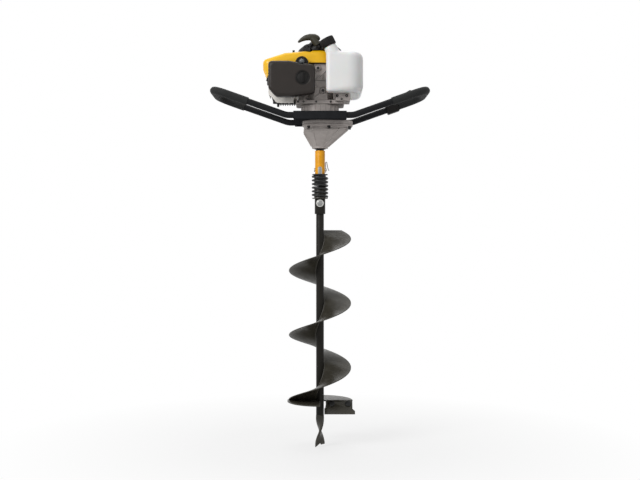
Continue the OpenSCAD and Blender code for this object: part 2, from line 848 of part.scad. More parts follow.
module crankshaft() {
  color("#8b8c8a") {
    rod(crank_r, drum_z + 12, axis_z - web_gap / 2 - 1);
    rod(web_r, axis_z - web_gap / 2 - web_t, axis_z - web_gap / 2);
    rod(web_r, axis_z + web_gap / 2, axis_z + web_gap / 2 + web_t);
    rod(crank_r, axis_z + web_gap / 2 + 1, fly_z + 30);
    rod(34, shoe_z + shoe_h + gap, shoe_z + shoe_h + gap + 4);
  }
}

module piston() {
  color("#b9b9b6") translate([0, 0, axis_z]) {
    difference() {
      rod_x(bore_d / 2 - fit, crown_x, crown_x + piston_len);
      rod_x(bore_d / 2 - 4, crown_x + 6, crown_x + piston_len + 1);
    }
    translate([pin_x, 0, 0]) rod(5.5, -bore_d / 2 + 3, bore_d / 2 - 3);
  }
}

module connecting_rod() {
  color("#8b8c8a") translate([0, 0, axis_z]) difference() {
    union() {
      translate([pin_x, 0, 0]) rod(9, -6, 6);
      translate([-throw_r, 0, 0]) rod(13, -web_gap / 2 + 1, web_gap / 2 - 1);
      translate([-throw_r, 0, 0]) rod(8, -web_gap / 2 + gap, web_gap / 2 - gap);
      block([pin_x + 5, -5, -5], [-throw_r - 5, 5, 5]);
    }
    translate([pin_x, 0, 0]) rod(5.5 + fit, -10, 10);
  }
}

module flywheel() {
  color("#8f8d8a") difference() {
    union() {
      rod(fly_r, fly_z, fly_z + 10);
      rod(18, fly_z, fly_z + 26);
      for (a = [0:30:330]) rotate([0, 0, a]) block([17, -1.25, fly_z + 9], [fly_r - 1, 1.25, fly_z + 24]);
    }
    rod(crank_r + fit, fly_z - 1, fly_z + 40);
  }
}

module ignition_coil() {
  color("#26231f") block([-15, fly_r + 1, crankcase_top + 0.05], [15, 56, crankcase_top + 16]);
}

module spark_plug() {
  color("#20201f") translate([0, 0, axis_z]) {
    rod_x(7, head_x - 17.5, head_x - 1);
    rod_x(10, head_x - 40, head_x - 16.2);
    rod_x(8, head_x - 56, head_x - 39);
  }
}

module muffler() {
  color("#b9b4ae") difference() {
    union() {
      soft_box([-150, 66, axis_z - 50], [-72, 108, axis_z + 43], 8);
      soft_box([-168, 66, axis_z - 34], [-130, 108, axis_z + 43], 12);
      translate([carb_x, 0, axis_z]) rod_y(13, 50.1, 70);
    }
    translate([carb_x, 0, axis_z]) rod_y(9, 40, 70);
  }
}

// Guard under and behind the muffler, with slots and a toothed lip
module muffler_guard() {
  low = axis_z - 59;
  color("#1d1d1d") difference() {
    union() {
      block([-154, 52, low + 6], [-66, 113, low + 8.8]);
      block([-154, 52, low - 1], [-66, 54.5, low + 7]);
      block([-154, 110.5, low + 6], [-66, 113, axis_z + 30]);
    }
    for (i = [0:5]) block([-142 + i * 12.5, 50, low - 2], [-136 + i * 12.5, 56, low + 3.5]);
    for (i = [0:5]) block([-142 + i * 12.5, 100, low + 20], [-136 + i * 12.5, 120, axis_z + 20]);
  }
}

module carburettor() {
  color("#a7a8a6") difference() {
    union() {
      block([carb_x - 17, -76, axis_z - 17], [carb_x + 17, -58, axis_z + 19]);
      translate([carb_x, 0, axis_z]) rod_y(14, filter_y1 + filter_base_t + 0.1, -50.1);
      block([carb_x - 24, -73, axis_z - 8], [carb_x + 26, -62, axis_z + 8]);
    }
    translate([carb_x, 0, axis_z]) rod_y(9, -90, -40);
  }
}

// Outline of the filter seen from the front, drawn in by d
module filter_outline(d) {
  r = 10;
  lip_r = 4;
  hull() {
    translate([filter_x0 + d + r, filter_z1 - d - r]) circle(r = r, $fn = 32);
    translate([filter_x0 + d + r, filter_z0 + 16 + r]) circle(r = r, $fn = 32);
    translate([filter_x0 + 14 + d + r, filter_z0 + d + r]) circle(r = r, $fn = 32);
    translate([filter_x1 - d - r, filter_z0 + 4 + d + r]) circle(r = r, $fn = 32);
    translate([filter_x1 - d - r, filter_z1 - 11 - d - r]) circle(r = r, $fn = 32);
    translate([filter_x0 + 62, filter_z1 - d - r]) circle(r = r, $fn = 32);
  }
  hull() for (x = [filter_x0 + 23 + d + lip_r, filter_x0 + 77 - d - lip_r]) {
    translate([x, filter_z0 - 4 + d + lip_r]) circle(r = lip_r, $fn = 20);
    translate([x, filter_z0 + 20]) circle(r = lip_r, $fn = 20);
  }
}

module filter_slab(y0, y1, d) {
  translate([0, y1, 0]) rotate([90, 0, 0]) linear_extrude(height = y1 - y0) filter_outline(d);
}

module air_filter_base() {
  cup_r = primer_d / 2 + gap + 2;
  y1 = filter_y1 + filter_base_t;
  color("#231f1d") difference() {
    union() {
      filter_slab(filter_y1 + 0.05, y1, 3);
      translate([primer_x, 0, filter_z1 - 8]) rod_y(20, filter_y1 + 0.05, y1);
      translate([primer_x, 0, primer_z]) rod_y(cup_r, filter_y1 - 4, y1 + 8);
      translate([choke_x + 6, 0, choke_z]) rod_y(6, filter_y1 + 0.05, y1);
    }
    translate([primer_x, 0, primer_z]) rod_y(primer_d / 2 + gap, filter_y1 - 5, y1 + 6);
    translate([carb_x, 0, axis_z]) rod_y(10, filter_y1 - 1, y1 + 1);
    translate([choke_x + 6, 0, choke_z]) rod_y(choke_pin_r + fit, filter_y1 - 1, y1 + 1);
    translate([knob_x, 0, axis_z]) rod_y(4 + fit, filter_y1 - 1, y1 + 1);
  }
}

module air_filter_element() {
  color("#6b5b45") difference() {
    filter_slab(filter_y1 - 14, filter_y1, 8);
    translate([knob_x, 0, axis_z]) rod_y(6, filter_y1 - 20, filter_y1 + 1);
    translate([primer_x, 0, primer_z]) rod_y(primer_d / 2 + 4, filter_y1 - 20, filter_y1 + 1);
  }
}

module air_filter_cover() {
  color("#231f1d") difference() {
    hull() {
      filter_slab(filter_y0 + 8, filter_y1, 0);
      filter_slab(filter_y0 + 2.4, filter_y1, 2.4);
      filter_slab(filter_y0, filter_y1, 8);
    }
    filter_slab(filter_y0 + 10, filter_y1 + 1, 3);
    translate([knob_x, 0, axis_z]) {
      rod_y(knob_d / 2 + 1, filter_y0 - 1, filter_y0 + 5);
      rod_y(4 + gap, filter_y0 - 1, filter_y1);
    }
    translate([primer_x, 0, primer_z]) rod_y(primer_d / 2 + 5, filter_y0 - 1, filter_y1 + 1);
  }
}

module filter_knob() {
  color("#2b2725") translate([knob_x, 0, axis_z]) {
    rod_y(4, filter_y0 + 4, filter_y1 + filter_base_t);
    difference() {
      rod_y(knob_d / 2, filter_y0 - 0.5, filter_y0 + 4.5);
      difference() {
        rod_y(knob_d / 2 - 3, filter_y0 - 1, filter_y0 + 1);
        rod_y(knob_d / 2 - 6, filter_y0 - 2, filter_y0 + 2);
      }
    }
    block([-3, filter_y0 - 5, -knob_d / 2 + 7], [3, filter_y0, knob_d / 2 - 7]);
  }
}

module choke_lever() {
  y1 = filter_y1 + filter_base_t;
  color("#26221f") translate([choke_x + 6, 0, choke_z]) {
    rod_y(choke_pin_r, filter_y1 + 1, y1 + 2);
    rod_y(5, y1 + gap, y1 + 5);
    rotate([0, 20, 0]) block([-4, y1 + gap, -26], [4, y1 + 4.5, 0]);
  }
}

module primer_bulb() {
  r = primer_d / 2;
  color("#c9cbc8") translate([primer_x, filter_y1 - 2, primer_z]) difference() {
    union() {
      rotate([90, 0, 0]) rotate_extrude() difference() {
        intersection() {
          circle(r = r);
          square([r, r]);
        }
        circle(r = r - 1.5);
      }
      difference() {
        rod_y(r, 0, 6);
        rod_y(r - 1.5, -1, 7);
      }
    }
  }
}

// A post with its upper edge eased in steps; hulls of these make the shroud and the tank
module eased_post(spot, r, z0, z1, ease, low = 0) {
  steps = [[1, 0], [0.6, 0.08], [0.28, 0.3], [0.06, 0.65], [0, 1]];
  translate([spot[0], spot[1], 0]) for (s = steps) {
    translate([0, 0, z0 + low]) cylinder(r = r - s[1] * ease, h = z1 - z0 - low - s[0] * ease, $fn = 40);
    if (low > 0) translate([0, 0, z0 + s[0] * low]) cylinder(r = r - s[1] * low, h = low + 1, $fn = 40);
  }
}

// Shroud body, drawn in by d; foot is where its left end stops
module shroud_form(d, foot) {
  hull() {
    eased_post([0, 0], 64 - d, crankcase_top - 20, shroud_top - d, 12);
    for (y = [-38, 40]) {
      eased_post([-102, y], 22 - d, crankcase_top - 20, shroud_top - 7 - d, 12);
      eased_post([-158, y], 23.5 - d, foot, shroud_top - 25 - d, 14);
      translate([-148, y, foot]) cylinder(r = 22.5 - d, h = 30, $fn = 48);
    }
  }
}

module engine_shroud() {
  edge = [[-150, -60], [-150, -14], [-138, -8], [-42, -8], [-34, 0], [90, 0], [90, -60]];
  color("#ecbe22") difference() {
    shroud_form(0, axis_z);
    shroud_form(shroud_wall, axis_z - 2);
    translate([0, 90, crankcase_top]) rotate([90, 0, 0]) linear_extrude(height = 180) polygon(edge);
    rod(46, shroud_top - 20, shroud_top + 5);
    block([-200, -20, axis_z - 5], [-140, 90, axis_z + 18]);
    translate([primer_x, 0, filter_z1 - 8]) rod_y(20, -80, -40);
  }
}

// Starter

module starter_housing() {
  z0 = shroud_top + 0.05;
  profile = [[46.5, 0], [dome_r, 0], [dome_r, 4], [41, 23], [33, 34], [0, 34],
    [0, 31], [32, 31], [39, 22], [dome_r - 3, 3.6], [dome_r - 3, 3], [46.5, 3]];
  color("#1f1d1c") difference() {
    union() {
      translate([0, 0, z0]) rotate_extrude() polygon(profile);
      rod(post_r, pulley_z - 6, dome_top - 2);
      at_guide() rod(8, -11, 0);
    }
    for (a = [0:12:228]) rotate([0, 0, a - 66]) block([42, -1.8, z0 + 6], [57, 1.8, z0 + 24]);
    at_guide() rod(rope_d / 2 + gap, -20, 10);
  }
}

module at_guide() {
  translate(guide) rotate([0, -pull_tilt, 0]) children();
}

module starter_pulley() {
  color("#3b3a38") {
    difference() {
      rod(rope_groove_d / 2 + 2, pulley_z, pulley_z + pulley_h);
      rod(post_r + 0.1, pulley_z - 1, pulley_z + pulley_h + 1);
      ring(rope_groove_d / 2 + 5, rope_groove_d / 2 - 9, pulley_z + 2.5, pulley_z + pulley_h - 2.5);
    }
    ring(rope_groove_d / 2, rope_groove_d / 2 - 8.9, pulley_z + 2.6, pulley_z + pulley_h - 2.6);
  }
}

// Flat coiled spring between the pulley and the top of the housing
module recoil_spring() {
  turns = 4;
  steps = 96;
  inner = [for (i = [0:steps]) polar(post_r + 0.4 + 20 * i / steps, 360 * turns * i / steps)];
  outer = [for (i = [steps:-1:0]) polar(post_r + 1.4 + 20 * i / steps, 360 * turns * i / steps)];
  color("#7c7e80") translate([0, 0, pulley_z + pulley_h + gap]) {
    linear_extrude(height = 6) polygon(concat(inner, outer));
  }
}

module starter_rope() {
  color("#cfc9b4") at_guide() rod(rope_d / 2, -10, stem_len - 4);
}

module starter_handle() {
  color("#2c2b25") at_guide() difference() {
    union() {
      translate([0, 0, gap]) cylinder(r1 = 9, r2 = 10.5, h = stem_len - gap);
      for (i = [0:len(arch) - 2]) hull() for (p = [arch[i], arch[i + 1]]) {
        translate([p[0], 0, stem_len + p[1]]) sphere(r = p[2], $fn = 18);
      }
    }
    rod(rope_d / 2 + fit, -1, stem_len - 4 + fit);
  }
}

// Fuel tank

// One slab of the tank through eased corner posts, drawn in by d; trim keeps the slabs' faces apart
module tank_slab(corners, d, trim) {
  hull() for (c = corners) {
    eased_post(c, c[2] - d - trim, tank_z0 + d + trim, tank_z1 - d - trim, 0.6 * c[2], 0.4 * c[2]);
  }
}

module at_neck() {
  translate(neck_foot) rotate([0, -neck_tilt, 0]) children();
}

module fuel_tank() {
  color("#eeefec") difference() {
    union() {
      tank_slab(front_slab, 0, 0);
      tank_slab(right_slab, 0, 0.4);
      at_neck() rod(neck_r, -9, neck_len);
    }
    tank_slab(front_slab, tank_wall, 0);
    tank_slab(right_slab, tank_wall, 0.4);
    at_neck() rod(bore_r, -22, neck_len + 1);
  }
}

module fuel_cap() {
  color("#1a1a1b") at_neck() difference() {
    union() {
      rod(cap_d / 2 - 1, cap_from, cap_from + cap_h);
      for (a = [0:15:345]) rotate([0, 0, a]) translate([cap_d / 2 - 1.6, 0, 0]) rod(1.6, cap_from + 1, cap_from + cap_h - 3);
    }
    rod(neck_r + gap, cap_from - 1, neck_len + 0.5);
  }
}

auger_tube();
auger_flight();
cutting_head();
cutting_blade();
blade_bolts();
fishtail_point();
bit_socket();
bit_adapter();
bit_bolt();
shock_spring();
drive_coupler();
coupler_pin();
hairpin_clip();
output_shaft();
output_gear();
gearbox_case();
gearbox_cover();
case_bolts();
output_seal();
ball_bearings();
layshaft();
layshaft_gear();
pinion_shaft();
clutch_drum();
clutch_housing();
clutch_shoe_front();
clutch_shoe_rear();
handle_frame();
handle_cradle();
left_grip();
right_grip();
throttle_housing();
throttle_trigger();
stop_switch();
crankcase_lower();
crankcase_upper();
engine_cylinder();
crankshaft();
piston();
connecting_rod();
flywheel();
ignition_coil();
spark_plug();
muffler();
muffler_guard();
carburettor();
air_filter_base();
air_filter_element();
air_filter_cover();
filter_knob();
choke_lever();
primer_bulb();
engine_shroud();
starter_housing();
starter_pulley();
recoil_spring();
starter_rope();
starter_handle();
fuel_tank();
fuel_cap();
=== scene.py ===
"""Finish of the earth auger: materials, finished shapes, floor, light and camera, in the CAD frame."""

import json
import math

import bmesh
import bpy
from mathutils import Matrix, Vector
from mathutils.bvhtree import BVHTree


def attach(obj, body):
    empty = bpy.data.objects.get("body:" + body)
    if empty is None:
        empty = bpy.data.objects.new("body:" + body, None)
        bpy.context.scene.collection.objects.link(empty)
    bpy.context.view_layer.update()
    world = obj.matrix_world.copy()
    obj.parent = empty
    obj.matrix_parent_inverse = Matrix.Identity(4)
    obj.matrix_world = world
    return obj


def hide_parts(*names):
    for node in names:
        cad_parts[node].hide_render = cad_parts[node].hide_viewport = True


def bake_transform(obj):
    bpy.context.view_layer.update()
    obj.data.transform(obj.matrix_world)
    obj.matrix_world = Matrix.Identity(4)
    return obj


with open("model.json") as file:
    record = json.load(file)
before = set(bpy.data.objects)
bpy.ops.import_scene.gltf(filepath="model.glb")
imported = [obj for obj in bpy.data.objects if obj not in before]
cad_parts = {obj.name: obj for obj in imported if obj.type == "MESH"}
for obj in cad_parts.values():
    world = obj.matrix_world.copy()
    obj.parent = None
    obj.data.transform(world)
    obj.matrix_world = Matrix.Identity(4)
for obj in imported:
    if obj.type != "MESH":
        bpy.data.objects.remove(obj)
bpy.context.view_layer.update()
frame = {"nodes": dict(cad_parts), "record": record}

MM = 0.001
SEED = 7

# Materials


def linear(written):
    """Scene colour of a written colour such as #f0b81e."""
    parts = [int(written[i:i + 2], 16) / 255 for i in (1, 3, 5)]
    return [p / 12.92 if p <= 0.04045 else ((p + 0.055) / 1.055) ** 2.4 for p in parts] + [1.0]


def tinted(colour, factor):
    """The colour made darker or lighter by a factor."""
    return [min(1.0, c * factor) for c in colour[:3]] + [1.0]


def add(tree, kind, links=(), **values):
    """A new node; values set its inputs by name, and links join other nodes' outputs to them."""
    node = tree.nodes.new(kind)
    for label, value in values.items():
        node.inputs[label.replace("_", " ")].default_value = value
    for output, label in links:
        tree.links.new(output, node.inputs[label])
    return node


def noise(tree, size, detail=3.0, stretch=(1.0, 1.0, 1.0)):
    """Noise on the piece's own coordinates, with cells of this size in millimetres."""
    place = add(tree, "ShaderNodeTexCoord")
    turned = add(tree, "ShaderNodeMapping", [(place.outputs["Object"], "Vector")], Scale=stretch)
    cells = add(tree, "ShaderNodeTexNoise", [(turned.outputs["Vector"], "Vector")],
                Scale=1 / (size * MM), Detail=detail)
    return cells.outputs["Fac"]


def spread(tree, value, low, high, start=0.3, end=0.7):
    """A value from start to end mapped to low to high."""
    node = add(tree, "ShaderNodeMapRange", [(value, "Value")])
    for label, number in (("From Min", start), ("From Max", end), ("To Min", low), ("To Max", high)):
        node.inputs[label].default_value = number
    return node.outputs["Result"]


def mixed(tree, factor, first, second):
    """Two colours mixed by a factor; each is a colour or another node's output."""
    node = tree.nodes.new("ShaderNodeMix")
    node.data_type = "RGBA"
    tree.links.new(factor, node.inputs["Factor"])
    colours = [s for s in node.inputs if s.type == "RGBA"]
    for socket, colour in zip(colours, (first, second)):
        if isinstance(colour, list):
            socket.default_value = colour
        else:
            tree.links.new(colour, socket)
    return [s for s in node.outputs if s.type == "RGBA"][0]


def edges(tree, radius):
    """Near 1 on sharp edges and 0 on plain faces."""
    eased_normal = add(tree, "ShaderNodeBevel", Radius=radius * MM)
    eased_normal.samples = 4
    plain_normal = add(tree, "ShaderNodeNewGeometry")
    turn = tree.nodes.new("ShaderNodeVectorMath")
    turn.operation = "DOT_PRODUCT"
    tree.links.new(eased_normal.outputs["Normal"], turn.inputs[0])
    tree.links.new(plain_normal.outputs["Normal"], turn.inputs[1])
    return spread(tree, turn.outputs["Value"], 1.0, 0.0, 0.8, 0.99)


def product(tree, first, second):
    """Two values multiplied."""
    node = tree.nodes.new("ShaderNodeMath")
    node.operation = "MULTIPLY"
    tree.links.new(first, node.inputs[0])
    tree.links.new(second, node.inputs[1])
    return node.outputs["Value"]


def surface(name, colour, rough, tone=0.12, tone_size=30.0, grain=0.05, grain_size=0.8,
            worn=None, worn_reach=1.2, stretch=(1.0, 1.0, 1.0), **fixed):
    """A material with uneven tone, roughness and grain, and rubbed edges where worn names a colour."""
    material = bpy.data.materials.new(name)
    material.use_nodes = True
    tree = material.node_tree
    main = tree.nodes["Principled BSDF"]
    for label, value in fixed.items():
        main.inputs[label.replace("_", " ")].default_value = value
    base = linear(colour)
    patches = noise(tree, tone_size, stretch=stretch)
    shade = mixed(tree, spread(tree, patches, 0.0, 1.0), tinted(base, 1 - tone), tinted(base, 1 + tone))
    if worn:
        scuffs = spread(tree, noise(tree, 6.0, 5.0), 0.0, 1.0, 0.42, 0.62)
        shade = mixed(tree, product(tree, edges(tree, worn_reach), scuffs), shade, linear(worn))
    tree.links.new(shade, main.inputs["Base Color"])
    sheen_patches = noise(tree, tone_size / 3, 5.0, stretch)
    tree.links.new(spread(tree, sheen_patches, rough - 0.07, rough + 0.09), main.inputs["Roughness"])
    fine = noise(tree, grain_size, 2.0, stretch)
    bump = add(tree, "ShaderNodeBump", [(fine, "Height")], Strength=0.6, Distance=grain * MM)
    tree.links.new(bump.outputs["Normal"], main.inputs["Normal"])
    return material


def make_materials():
    """One material for each slot of the record, and variants for the bit's tube, the clip and the cradle; the
    bit's tube variant is painted shade.
    """
    return {
        # The bit's paint is one black. The first entry below is made lighter, a painted highlight for the
        # flight's upward faces. The second is made darker, painted shade for the upright tube and socket.
        "bit_black": surface("bit_black_painted_light", "#36332b", 0.38, tone=0.16, grain=0.02, worn="#55524a",
                             Specular_IOR_Level=0.36),
        "tube_painted_shade": surface("tube_painted_shade_paint", "#1f1d19", 0.46, tone=0.14, grain=0.02, worn="#3a3832",
                              Specular_IOR_Level=0.14),
        "spring_black": surface("spring_black_coat", "#191a1a", 0.40, grain=0.03, worn="#3c3e3f",
                                Specular_IOR_Level=0.35),
        "yellow_paint": surface("yellow_paint", "#eba20f", 0.40, tone=0.08, grain=0.02, worn="#b9a67c",
                                Specular_IOR_Level=0.3),
        "yellow_plastic": surface("yellow_plastic", "#f4bd0c", 0.36, tone=0.035, grain=0.03, grain_size=0.5),
        "clip_wire": surface("clip_wire", "#7a7271", 0.42, grain=0.02, Metallic=0.3),
        "zinc": surface("zinc_plate", "#c2c2be", 0.34, tone=0.08, grain=0.02, Metallic=0.85),
        "steel": surface("machined_steel", "#8e8f8e", 0.32, grain=0.02, stretch=(1, 1, 6), Metallic=1.0),
        "cast": surface("cast_aluminium", "#a09995", 0.50, tone=0.10, tone_size=14, grain=0.12,
                        grain_size=0.9, worn="#cdc8c3", Metallic=0.3),
        "cylinder_cast": surface("cylinder_aluminium", "#b3afa8", 0.48, grain=0.10, Metallic=0.4),
        "bolt_black": surface("black_oxide", "#171718", 0.42, grain=0.03, worn="#4a4a4a",
                              Specular_IOR_Level=0.3),
        "bearing": surface("bearing_steel", "#b4b5b6", 0.22, grain=0.01, Metallic=1.0),
        "seal": surface("seal_rubber", "#161616", 0.60, grain=0.05, Specular_IOR_Level=0.25),
        "lining": surface("friction_lining", "#6a5c50", 0.80, grain=0.2, grain_size=1.5),
        "handle_black": surface("handle_black_coat", "#17181a", 0.52, tone=0.10, grain=0.05, worn="#35373a",
                                Specular_IOR_Level=0.12),
        "cradle_black": surface("cradle_black_coat", "#27282a", 0.75, tone=0.10, grain=0.05, worn="#2c2d2f",
                                Specular_IOR_Level=0.0),
        "grip": surface("grip_foam", "#202121", 0.74, tone=0.14, tone_size=10, grain=0.18, grain_size=1.2,
                        Specular_IOR_Level=0.25),
        "black_plastic": surface("black_plastic", "#171615", 0.48, grain=0.05, grain_size=0.6,
                                 Specular_IOR_Level=0.16),
        "brown_black": surface("filter_black_plastic", "#27221f", 0.46, tone=0.07, grain=0.06,
                               grain_size=0.6, Specular_IOR_Level=0.24),
        "red_plastic": surface("red_plastic", "#b3241c", 0.40, grain=0.03),
        "muffler_steel": surface("aluminised_steel", "#dedad4", 0.42, tone=0.10, tone_size=20, grain=0.05,
                                 worn="#e8e5e0", Metallic=0.2),
        "guard_black": surface("guard_black_paint", "#171717", 0.50, grain=0.05, worn="#44423f",
                               Specular_IOR_Level=0.3),
        "foam": surface("filter_foam", "#4a4a44", 0.9, grain=0.4, grain_size=1.6),
        "clear_rubber": surface("clear_rubber", "#73777a", 0.26, tone=0.05, grain=0.01,
                                Transmission_Weight=0.3, IOR=1.4),
        "rope": surface("starter_rope", "#d8d2be", 0.8, grain=0.25, grain_size=1.0, stretch=(1, 1, 3)),
        "handle_olive": surface("handle_rubber", "#2c291c", 0.46, tone=0.10, grain=0.05,
                                Specular_IOR_Level=0.35),
        "tank_white": surface("tank_white_plastic", "#e7e7e6", 0.42, tone=0.02, tone_size=60, grain=0.04,
                              grain_size=2.0, Subsurface_Weight=0.15, Subsurface_Scale=0.006),
    }


MATERIALS = make_materials()
NODE_SLOT = {s["node"]: s["material_slot"] for s in frame["record"]["subparts"]}
NODE_BODY = {n: body for body, nodes in frame["record"]["behaviour"]["bodies"].items() for n in nodes}

# Mesh helpers


def show(obj):
    """Links a new object to the scene."""
    bpy.context.scene.collection.objects.link(obj)
    return obj


def smooth(mesh, angle):
    """Smooth shading, with edges sharper than the angle kept crisp."""
    mesh.polygons.foreach_set("use_smooth", [True] * len(mesh.polygons))
    mesh.set_sharp_from_angle(angle=math.radians(angle))
    return mesh


def cad_copy(node):
    """A CAD node's mesh with its doubled points merged and its flat triangles joined."""
    shape = bmesh.new()
    shape.from_mesh(frame["nodes"][node].data)
    bmesh.ops.remove_doubles(shape, verts=shape.verts, dist=0.004 * MM)
    bmesh.ops.dissolve_limit(shape, angle_limit=math.radians(0.5), verts=shape.verts, edges=shape.edges)
    bmesh.ops.recalc_face_normals(shape, faces=shape.faces)
    mesh = bpy.data.meshes.new(node + "_copy")
    shape.to_mesh(mesh)
    shape.free()
    return mesh


def plain_mesh(obj):
    """The object's mesh with its modifiers in it; the object goes."""
    bpy.context.view_layer.update()
    graph = bpy.context.evaluated_depsgraph_get()
    mesh = bpy.data.meshes.new_from_object(obj.evaluated_get(graph), depsgraph=graph)
    bpy.data.objects.remove(obj)
    return mesh


def reshaped(mesh, *steps):
    """The mesh after these modifiers, each a kind with its settings."""
    obj = show(bpy.data.objects.new("work", mesh))
    for kind, settings in steps:
        modifier = obj.modifiers.new(kind.lower(), kind)
        for label, value in settings.items():
            setattr(modifier, label, value)
    return plain_mesh(obj)


def piece(name, mesh, body, *nodes, slot=None, finish=None):
    """Shows a mesh on a body in place of CAD nodes, in the finish of the slot or a variant of it."""
    slot = slot or NODE_SLOT[nodes[0]]
    mesh.materials.clear()
    mesh.materials.append(MATERIALS[finish or slot])
    obj = show(bpy.data.objects.new(name, mesh))
    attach(obj, body)
    if nodes:
        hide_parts(*nodes)
    return obj


def blended(name, mesh, node):
    """Shows a mesh in place of a CAD node, its placing baked into its points; it is put on no body."""
    slot = NODE_SLOT[node]
    mesh.materials.clear()
    mesh.materials.append(MATERIALS[slot])
    obj = show(bpy.data.objects.new(name, mesh))
    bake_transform(obj)
    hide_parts(node)


def eased(name, node, width=0.6, finish=None):
    """A machined or pressed piece: the CAD shape with its edges eased by a width in millimetres."""
    return piece(name, bevelled(cad_copy(node), width), NODE_BODY[node], node, finish=finish)


def moulded(mesh, cell, passes, share, swell=0.0):
    """The mesh with filleted edges and blended steps, swelled by some millimetres first."""
    return smooth(reshaped(
        mesh,
        ("REMESH", {"mode": "VOXEL", "voxel_size": cell * MM}),
        ("DISPLACE", {"strength": swell * MM, "mid_level": 0.0}),
        ("SMOOTH", {"factor": 0.5, "iterations": passes}),
        ("DECIMATE", {"ratio": share}),
    ), 60)


def rounded(name, node, cell=1.2, passes=8, share=0.5, swell=0.0):
    """A moulded or cast piece: the CAD shape, moulded."""
    return piece(name, moulded(cad_copy(node), cell, passes, share, swell), NODE_BODY[node], node)


def prism(outline, y0, y1):
    """A mesh with an outline of x and z drawn along y, in millimetres."""
    count = len(outline)
    points = [Vector((x, y, z)) * MM for y in (y0, y1) for x, z in outline]
    sides = [(i, (i + 1) % count, count + (i + 1) % count, count + i) for i in range(count)]
    mesh = bpy.data.meshes.new("prism")
    mesh.from_pydata(points, [], sides + [tuple(range(count))[::-1], tuple(range(count, 2 * count))])
    return outward(mesh)


def hulls(point_sets):
    """One mesh of the convex hulls of several sets of points, in millimetres."""
    shape = bmesh.new()
    for points in point_sets:
        corners = [shape.verts.new(Vector(p) * MM) for p in points]
        made = bmesh.ops.convex_hull(shape, input=corners)
        inside = [g for g in made["geom_interior"] if isinstance(g, bmesh.types.BMVert)]
        bmesh.ops.delete(shape, geom=inside, context="VERTS")
    mesh = bpy.data.meshes.new("hulls")
    shape.to_mesh(mesh)
    shape.free()
    return outward(mesh)


def ball(x, y, z, r, rings=10):
    """Points on a ball, in millimetres."""
    levels = [math.pi * (i / rings - 0.5) for i in range(rings + 1)]
    turns = [2 * math.pi * i / (2 * rings) for i in range(2 * rings)]
    return [(x + r * math.cos(a) * math.cos(t), y + r * math.cos(a) * math.sin(t), z + r * math.sin(a))
            for a in levels for t in turns]


def outward(mesh):
    """The mesh with all its faces turned outwards."""
    shape = bmesh.new()
    shape.from_mesh(mesh)
    bmesh.ops.recalc_face_normals(shape, faces=shape.faces)
    shape.to_mesh(mesh)
    shape.free()
    return mesh


def sliced(mesh, point, toward):
    """The part of a mesh on one side of a plane, closed where it is cut; the point is in millimetres."""
    shape = bmesh.new()
    shape.from_mesh(mesh)
    bmesh.ops.bisect_plane(shape, geom=shape.verts[:] + shape.edges[:] + shape.faces[:],
                           plane_co=Vector(point) * MM, plane_no=toward, clear_inner=True)
    rim = [e for e in shape.edges if e.is_boundary]
    bmesh.ops.triangle_fill(shape, edges=rim, use_beauty=True, use_dissolve=True)
    bmesh.ops.recalc_face_normals(shape, faces=shape.faces)
    half = bpy.data.meshes.new(mesh.name + "_half")
    shape.to_mesh(half)
    shape.free()
    return half


def bevelled(mesh, width, angle=30):
    """The mesh with its edges eased by a width in millimetres."""
    settings = {"width": width * MM, "segments": 2, "limit_method": "ANGLE", "angle_limit": math.radians(angle)}
    return smooth(reshaped(mesh, ("BEVEL", settings)), 40)


def laid(node, points, toward=(0, 1, 0), sink=0.0):
    """Points dropped on a CAD node's surface along a direction, then sunk into it by some millimetres."""
    data = frame["nodes"][node].data
    skin = BVHTree.FromPolygons([v.co for v in data.vertices], [p.vertices for p in data.polygons])
    way = Vector(toward)
    places = [skin.ray_cast(Vector(point) * MM, way)[0] for point in points]
    return [place / MM + way * sink for place in places if place]


def along(first, last, steps):
    """Points from the first to the last."""
    return [Vector(first).lerp(Vector(last), i / steps) for i in range(steps + 1)]


# Geometry trees

LUMP_SIZE = 3.5


def new_tree(name, sizes):
    """A geometry tree with named inputs, and its input and output nodes."""
    tree = bpy.data.node_groups.new(name, "GeometryNodeTree")
    tree.interface.new_socket("Geometry", in_out="INPUT", socket_type="NodeSocketGeometry")
    for label, (kind, value) in sizes.items():
        socket = tree.interface.new_socket(label, in_out="INPUT", socket_type="NodeSocket" + kind)
        if value is not None:
            socket.default_value = value
    tree.interface.new_socket("Material", in_out="INPUT", socket_type="NodeSocketMaterial")
    tree.interface.new_socket("Geometry", in_out="OUTPUT", socket_type="NodeSocketGeometry")
    return tree, tree.nodes.new("NodeGroupInput"), tree.nodes.new("NodeGroupOutput")


def close_tree(tree, given, shape, result):
    """Ends a tree: instances made real, smooth faces and the material set."""
    real = add(tree, "GeometryNodeRealizeInstances", [(shape, "Geometry")])
    even = add(tree, "GeometryNodeSetShadeSmooth", [(real.outputs["Geometry"], "Geometry")])
    finish = add(tree, "GeometryNodeSetMaterial", [
        (even.outputs["Geometry"], "Geometry"), (given.outputs["Material"], "Material")])
    tree.links.new(finish.outputs["Geometry"], result.inputs["Geometry"])
    return tree


def make_tube_tree():
    """A round tube along the edges of the seed mesh."""
    tree, given, result = new_tree("tube_along_path", {"Radius": ("Float", 0.01), "Sides": ("Int", 24)})
    path = add(tree, "GeometryNodeMeshToCurve", [(given.outputs["Geometry"], "Mesh")])
    round_section = add(tree, "GeometryNodeCurvePrimitiveCircle", [
        (given.outputs["Sides"], "Resolution"), (given.outputs["Radius"], "Radius")])
    tube = add(tree, "GeometryNodeCurveToMesh", [
        (path.outputs["Curve"], "Curve"), (round_section.outputs["Curve"], "Profile Curve")])
    tube.inputs["Fill Caps"].default_value = True
    return close_tree(tree, given, tube.outputs["Mesh"], result)


